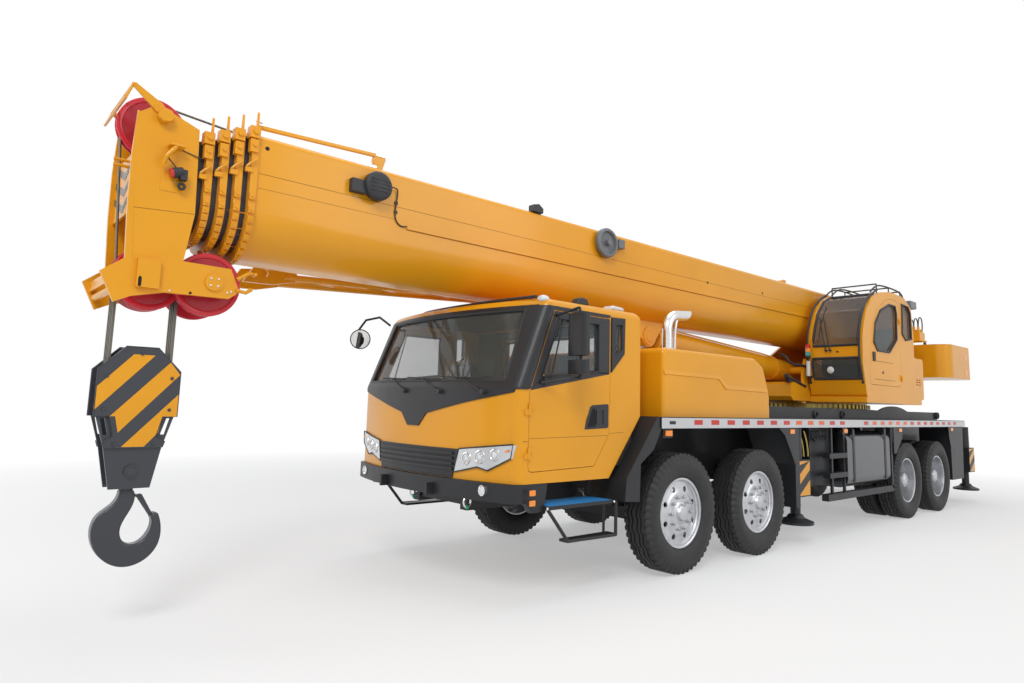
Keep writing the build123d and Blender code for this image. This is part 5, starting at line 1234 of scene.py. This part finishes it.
def op_face(z):
    """How far forward the operator's cab comes at a height."""
    rows = [
        (1.825, 2.32), (2.3, 2.215), (2.679, 2.229), (2.88, 2.295), (3.11, 2.411), (3.316, 2.625),
        (3.425, 2.935),
    ]
    for (z0, y0), (z1, y1) in zip(rows, rows[1:]):
        if z <= z1:
            return y0 + (y1 - y0) * (z - z0) / (z1 - z0)
    return rows[-1][1]


SIGNAL = (0.545, 2.155)


def operator_details():
    seal = bmesh.new()
    tube(seal, [(OP_OUT + 0.002, y, z) for y, z in OP_REAR], 0.017, 8, closed=True)
    for x_low, x_high, z_low, z_high in ((0.6, 1.255, 2.575, 3.395), (0.585, 1.265, 2.085, 2.385)):
        heights = [z_low + (z_high - z_low) * k / 8 for k in range(9)]
        ring = [(x_low, op_face(z) - 0.002, z) for z in heights]
        ring += [(x_high, y, z) for _, y, z in ring[::-1]]
        tube(seal, ring, 0.02, 8, closed=True)
    piece("operator_seals", seal, "superstructure", "cabin_plastic")
    window = bmesh.new()
    tube(window, [(OP_OUT + 0.002, y, z) for y, z in OP_WINDOW], 0.018, 8, closed=True)
    prism(
        window, [(2.566, 2.485), (2.6, 2.495), (2.652, 2.49), (2.652, 2.36), (2.6, 2.35), (2.572, 2.36)],
        OP_OUT, OP_OUT + 0.014,
    )
    rod(window, (OP_OUT, 2.93, 2.2), (OP_OUT + 0.006, 2.93, 2.2), 0.02, 12)
    piece("operator_door_trim", window, "operator_door", "cabin_plastic")
    # Thin darker lines along the pressed lines of the operator's door: painted shade.
    press = bmesh.new()
    for y0, y1, z in ((2.54, 3.34, 2.36), (2.62, 3.4, 2.09)):
        cuboid(press, (OP_OUT - 0.001, OP_OUT + 0.0012), (y0, y1), (z - 0.004, z + 0.004))
    piece("operator_door_press_shade", press, "operator_door", (SEAM_SHADE, "paint"))
    bars = bmesh.new()
    for x in (0.52, 1.285):
        pipe(bars, [(x, y, z) for y, z in OP_EDGE], 0.016, 10)
        ball(bars, (x, 2.285, 2.03), 0.024)
    for x in (0.56, 0.66, 1.24):
        pipe(
            bars,
            [
                (x, 2.78, 3.42), (x, 2.96, 3.545), (x, 3.3, 3.585), (x, 3.95, 3.575), (x, 4.12, 3.5),
                (x, 4.13, 3.34),
            ],
            0.013, 10,
        )
    for y in (3.02, 3.5, 3.98):
        tube(bars, [(0.56, y, 3.575), (1.24, y, 3.575)], 0.011, 8)
        for x in (0.56, 1.24):
            rod(bars, (x, y, 3.42), (x, y, 3.575), 0.01, 8)
    piece("operator_roof_guard", bars, "superstructure", "cabin_plastic")
    wiper = bmesh.new()
    for x in (0.8, 0.86):
        pipe(
            wiper,
            [
                (x, op_face(2.5) - 0.03, 2.5), (x - 0.08, op_face(2.8) - 0.03, 2.8),
                (x - 0.14, op_face(3.02) - 0.03, 3.02),
            ],
            0.009, 8,
        )
        rod(wiper, (x, op_face(2.5) - 0.045, 2.5), (x, op_face(2.5), 2.5), 0.016, 12)
    pipe(
        wiper,
        [
            (0.68, op_face(2.62) - 0.018, 2.64), (0.69, op_face(2.9) - 0.018, 2.95),
            (0.7, op_face(3.2) - 0.022, 3.2),
        ],
        0.009, 8,
    )
    rod(wiper, (0.96, op_face(2.48) - 0.015, 2.48), (0.96, op_face(2.48), 2.48), 0.014, 12)
    piece("operator_wipers", wiper, "superstructure", "cabin_plastic")
    for name, finish_of, z_low, z_high in (
        ("red", RED_LENS, 2.545, 2.6),
        ("amber", AMBER, 2.488, 2.543),
        ("green", TEAL, 2.43, 2.486),
    ):
        lens = bmesh.new()
        rod(lens, (*SIGNAL, z_low), (*SIGNAL, z_high), 0.036, 20)
        piece(f"signal_{name}", lens, "superstructure", (finish_of, "lamp_glass"))
    post = bmesh.new()
    rod(post, (*SIGNAL, 2.4), (*SIGNAL, 2.43), 0.03, 20)
    cuboid(post, (0.53, 0.56), (2.15, 2.22), (2.4, 2.42))
    cuboid(post, (0.53, 0.56), (2.15, 2.25), (2.1, 2.13))
    piece("signal_post", post, "superstructure", "cabin_plastic")
    bottle = bmesh.new()
    rod(bottle, (0.545, 2.15, 2.12), (0.545, 2.15, 2.35), 0.03, 20)
    piece("drier_bottle", bottle, "superstructure", (WHITE, "brushed"), 0.006)
    lamp = bmesh.new()
    ball(lamp, (0.85, op_face(2.21) - 0.02, 2.21), 0.052, (1, 0.45, 1))
    piece("low_window_mirror", lamp, "superstructure", (WHITE, "cabin_plastic"))
    box = bmesh.new()
    cuboid(box, (1.12, 1.28), (4.34, 4.6), (3.35, 3.475))
    piece("rear_box", box, "superstructure", (GREY, "brushed"), 0.012)
    stay = bmesh.new()
    pipe(stay, [(1.2, 4.22, 3.1), (1.2, 4.4, 3.2), (1.2, 4.46, 3.39)], 0.014, 8)
    piece("rear_box_stay", stay, "superstructure", "cabin_plastic")
    turntable_details()


def turntable_details():
    gear = bmesh.new()
    rod(gear, (0.42, 2.17, 1.71), (0.42, 2.17, 1.85), 0.06, 24)
    rod(gear, (0.42, 2.17, 1.85), (0.42, 2.17, 1.88), 0.04, 24)
    piece("pinion_housing", gear, "superstructure", "paint", 0.004)
    hoses = bmesh.new()
    pipe(
        hoses,
        [
            (0.3, 1.75, 2.44), (0.42, 1.72, 2.4), (0.45, 1.72, 2.32), (0.45, 1.86, 2.285), (0.45, 2.1, 2.29),
            (0.47, 2.26, 2.27),
        ],
        0.019, 10,
    )
    pipe(hoses, [(0.49, 1.54, 2.1), (0.49, 1.8, 2.05), (0.49, 2.15, 1.965)], 0.022, 10)
    piece("cylinder_hoses", hoses, "superstructure", "cabin_plastic")
    lamp = bmesh.new()
    rod(lamp, (0.47, 1.68, 2.02), (0.47, 1.62, 2.12), 0.035, 16)
    piece("deck_lamp", lamp, "superstructure", "cabin_plastic")
    valve = bmesh.new()
    cuboid(valve, (0.46, 1.18), (5.02, 5.34), (2.86, 2.885))
    cuboid(valve, (0.46, 0.5), (5.02, 5.34), (2.6, 2.88))
    cuboid(valve, (0.8, 1.16), (5.05, 5.3), (2.885, 3.02))
    for k in range(5):
        x = 0.84 + 0.07 * k
        rod(valve, (x, 5.12, 3.01), (x, 5.12, 3.12), 0.022, 10)
        rod(valve, (x, 5.24, 3.01), (x, 5.24, 3.08), 0.018, 8)
    rod(valve, (0.95, 5.3, 3.06), (0.95, 5.62, 3.04), 0.035, 16)
    rod(valve, (0.95, 5.62, 3.04), (0.95, 5.78, 3.03), 0.012, 8)
    piece("valve_bank", valve, "superstructure", "paint", 0.003)
    lines = bmesh.new()
    for k in range(5):
        x = 0.84 + 0.07 * k
        pipe(
            lines,
            [
                (x, 5.12, 3.11), (x + 0.01, 5.1, 3.22 + 0.015 * k), (x + 0.02, 5.24, 3.24 + 0.012 * k),
                (x, 5.33, 3.12), (x - 0.03, 5.35, 2.94),
            ],
            0.01, 8,
        )
    piece("valve_hoses", lines, "superstructure", "cabin_plastic")
    marks = bmesh.new()
    for z in (2.68, 2.38):
        cuboid(marks, (1.35, 1.3535), (6.78, 6.86), (z - 0.05, z + 0.05))
    mirror(marks)
    piece("counterweight_marks", marks, "superstructure", (AMBER, "lamp_glass"))
    lug = bmesh.new()
    for x in (-0.9, 0.9):
        torus(lug, (x, 6.85, 2.885), (1, 0, 0), 0.045, 0.014)
        torus(lug, (x, 6.1, 2.885), (1, 0, 0), 0.045, 0.014)
    piece("counterweight_lugs", lug, "superstructure", "cast_iron")


BARREL = 0.17
CYLINDER_FOOT = Vector((0.0, 2.4, 2.22))
CYLINDER_EYE = Vector((0.0, -1.25, 2.46))


def cylinder_details():
    """Bands near the ends of the luffing cylinder's barrel and its oil pipe."""
    foot = CYLINDER_FOOT
    along = (CYLINDER_EYE - foot).normalized()
    up = Vector((1, 0, 0)).cross(along)
    if up.z < 0:
        up = -up
    bands = bmesh.new()
    reach = (CYLINDER_EYE - foot).length
    for share in (0.12, 0.93):
        at = foot + along * reach * share
        rod(bands, at - along * 0.02, at + along * 0.02, BARREL + 0.014, 40)
    piece("barrel_bands", bands, "lift_barrel", "paint", 0.003)
    line = bmesh.new()
    side = Vector((0.07, 0, 0))
    run = ((0.14, 0.014), (0.2, 0.022), (0.88, 0.022), (0.92, 0.012))
    points = [foot + along * reach * s + up * (BARREL + off) * 0.9 + side for s, off in run]
    tube(line, points, 0.012, 8)
    piece("barrel_line", line, "lift_barrel", "paint")
    cap = bmesh.new()
    for sign in (1, -1):
        lathe(
            cap,
            [(0.0, 0.0), (0.0, 0.115), (0.012, 0.115), (0.014, 0.075), (0.02, 0.07), (0.02, 0.0)],
            CYLINDER_EYE + Vector((sign * 0.1855, 0, 0)),
            (sign, 0, 0),
            40,
        )
    piece("cylinder_pin_caps", cap, "boom_base", "paint")


def tank_details():
    band = bmesh.new()
    low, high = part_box("tanks")
    for y in (1.75, 2.833):
        cuboid(
            band, (high[0] - 0.001, high[0] + 0.005), (y - 0.03, y + 0.03), (low[2] + 0.06, high[2] - 0.06),
        )
        cuboid(
            band, (high[0] - 0.33, high[0] - 0.06), (y - 0.03, y + 0.03), (high[2] - 0.001, high[2] + 0.005),
        )
        rod(
            band, (high[0] - 0.062, y - 0.03, high[2] - 0.062), (high[0] - 0.062, y + 0.03, high[2] - 0.062),
            0.067, 24,
        )
    rod(band, (1.2, 1.62, 1.315), (1.2, 1.62, 1.345), 0.05, 20)
    piece("tank_bands", band, "carrier", "chassis_black")
    frame_bar = bmesh.new()
    cuboid(frame_bar, (1.28, 1.345), (3.045, 3.1), (0.5, 1.39))
    piece("tank_frame", frame_bar, "carrier", "chassis_black", 0.004)
    rod_gold = bmesh.new()
    for y0, y1 in ((0.56, 0.62), (0.7, 0.74)):
        pipe(rod_gold, [(1.15, y0, 1.34), (1.18, y1, 1.2), (1.18, y1, 1.02)], 0.012, 8)
    piece("gold_pipes", rod_gold, "carrier", (GOLD, "brushed"))
    hoses = bmesh.new()
    for k in range(4):
        y = 0.8 + 0.07 * k
        pipe(
            hoses, [(1.19, y, 1.34), (1.23, y + 0.02, 1.24), (1.24, y + 0.12, 1.2), (1.2, y + 0.2, 1.28)],
            0.011, 8,
        )
    piece("side_hoses", hoses, "carrier", "cabin_plastic")


def rear_details():
    back, red, amber, bar = bmesh.new(), bmesh.new(), bmesh.new(), bmesh.new()
    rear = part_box("chassis_frame")[1][1]
    cuboid(back, (0.52, 0.98), (rear + 0.01, rear + 0.055), (1.02, 1.18))
    cuboid(red, (0.54, 0.72), (rear + 0.055, rear + 0.061), (1.045, 1.155))
    cuboid(amber, (0.74, 0.85), (rear + 0.055, rear + 0.061), (1.045, 1.155))
    cuboid(bar, (0.6, 0.66), (rear - 0.01, rear + 0.02), (1.07, 1.13))
    mirror(back)
    mirror(red)
    mirror(amber)
    mirror(bar)
    piece("rear_lamp_backs", back, "carrier", "chassis_black", 0.006)
    piece("rear_lamps_red", red, "carrier", (RED_LENS, "lamp_glass"), 0.003)
    piece("rear_lamps_amber", amber, "carrier", (AMBER, "lamp_glass"), 0.003)
    piece("rear_lamp_stays", bar, "carrier", "chassis_black")


def plain_rays(tree):
    """1 for the rays that see the background: the camera's, and those in metal or through glass."""
    path = tree.nodes.new("ShaderNodeLightPath")
    total = path.outputs["Is Camera Ray"]
    for name in ("Is Glossy Ray", "Is Transmission Ray"):
        most = tree.nodes.new("ShaderNodeMath")
        most.operation = "MAXIMUM"
        tree.links.new(total, most.inputs[0])
        tree.links.new(path.outputs[name], most.inputs[1])
        total = most.outputs[0]
    return total


FLOOR = 160.0
FADE = (7.0, 15.0)  # metres from the middle, where the floor turns into the background
WORLD = 0.42
LIGHTS = (
    ("key", (9, -13, 12), (0, -2, 1.5), 1050, 6),
    ("fill", (14, 4, 8), (0, 1, 1.5), 480, 9),
    ("front", (-8, -14, 6), (0, -4, 1.5), 330, 8),
    ("top", (0, 0, 16), (0, 0, 0), 700, 12),
)  # name, place, aim, watts, diameter


def studio():
    bm = bmesh.new()
    bmesh.ops.create_grid(bm, x_segments=1, y_segments=1, size=FLOOR)
    data = bpy.data.meshes.new("floor")
    bm.to_mesh(data)
    bm.free()
    floor = bpy.data.objects.new("floor", data)
    bpy.context.scene.collection.objects.link(floor)
    material, tree, shader = new_material("floor_white")
    shader.inputs["Base Color"].default_value = (0.86, 0.86, 0.86, 1)
    shader.inputs["Roughness"].default_value = 0.9
    out = next(node for node in tree.nodes if node.type == "OUTPUT_MATERIAL")
    glow = tree.nodes.new("ShaderNodeEmission")
    mix = tree.nodes.new("ShaderNodeMixShader")
    reach = tree.nodes.new("ShaderNodeVectorMath")
    reach.operation = "LENGTH"
    fade = tree.nodes.new("ShaderNodeMapRange")
    fade.inputs["From Min"].default_value, fade.inputs["From Max"].default_value = FADE
    fade.inputs["To Min"].default_value = 0.4
    seen = tree.nodes.new("ShaderNodeMath")
    seen.operation = "MULTIPLY"
    tree.links.new(place(tree), reach.inputs[0])
    tree.links.new(reach.outputs["Value"], fade.inputs[0])
    tree.links.new(fade.outputs[0], seen.inputs[0])
    tree.links.new(plain_rays(tree), seen.inputs[1])
    tree.links.new(seen.outputs[0], mix.inputs[0])
    tree.links.new(shader.outputs[0], mix.inputs[1])
    tree.links.new(glow.outputs[0], mix.inputs[2])
    tree.links.new(mix.outputs[0], out.inputs[0])
    floor.data.materials.append(material)
    world = bpy.data.worlds.new("studio")
    bpy.context.scene.world = world
    world.use_nodes = True
    tree = world.node_tree
    tree.nodes.clear()
    out = tree.nodes.new("ShaderNodeOutputWorld")
    sky = tree.nodes.new("ShaderNodeBackground")
    seen = tree.nodes.new("ShaderNodeBackground")
    mix = tree.nodes.new("ShaderNodeMixShader")
    seen_by = plain_rays(tree)
    sky.inputs[0].default_value = (0.93, 0.96, 1.0, 1)
    sky.inputs[1].default_value = WORLD
    seen.inputs[0].default_value = (1, 1, 1, 1)
    seen.inputs[1].default_value = 1.0
    tree.links.new(seen_by, mix.inputs[0])
    tree.links.new(sky.outputs[0], mix.inputs[1])
    tree.links.new(seen.outputs[0], mix.inputs[2])
    tree.links.new(mix.outputs[0], out.inputs[0])
    for name, spot, aim, energy, size in LIGHTS:
        data = bpy.data.lights.new(name, "AREA")
        data.energy = energy
        data.shape = "DISK"
        data.size = size
        lamp = bpy.data.objects.new(name, data)
        lamp.location = spot
        lamp.rotation_euler = (Vector(aim) - Vector(spot)).to_track_quat("-Z", "Y").to_euler()
        bpy.context.scene.collection.objects.link(lamp)


add_camera()
dress_nodes()
wheels()
deck_trim()
outrigger_stripes()
carrier_trim()
cab_details()
hood_details()
tank_details()
rear_details()
boom_details()
head_details()
sheave_details()
hook_block_details()
operator_details()
cylinder_details()
studio()
bpy.context.scene.view_settings.view_transform = "Standard"
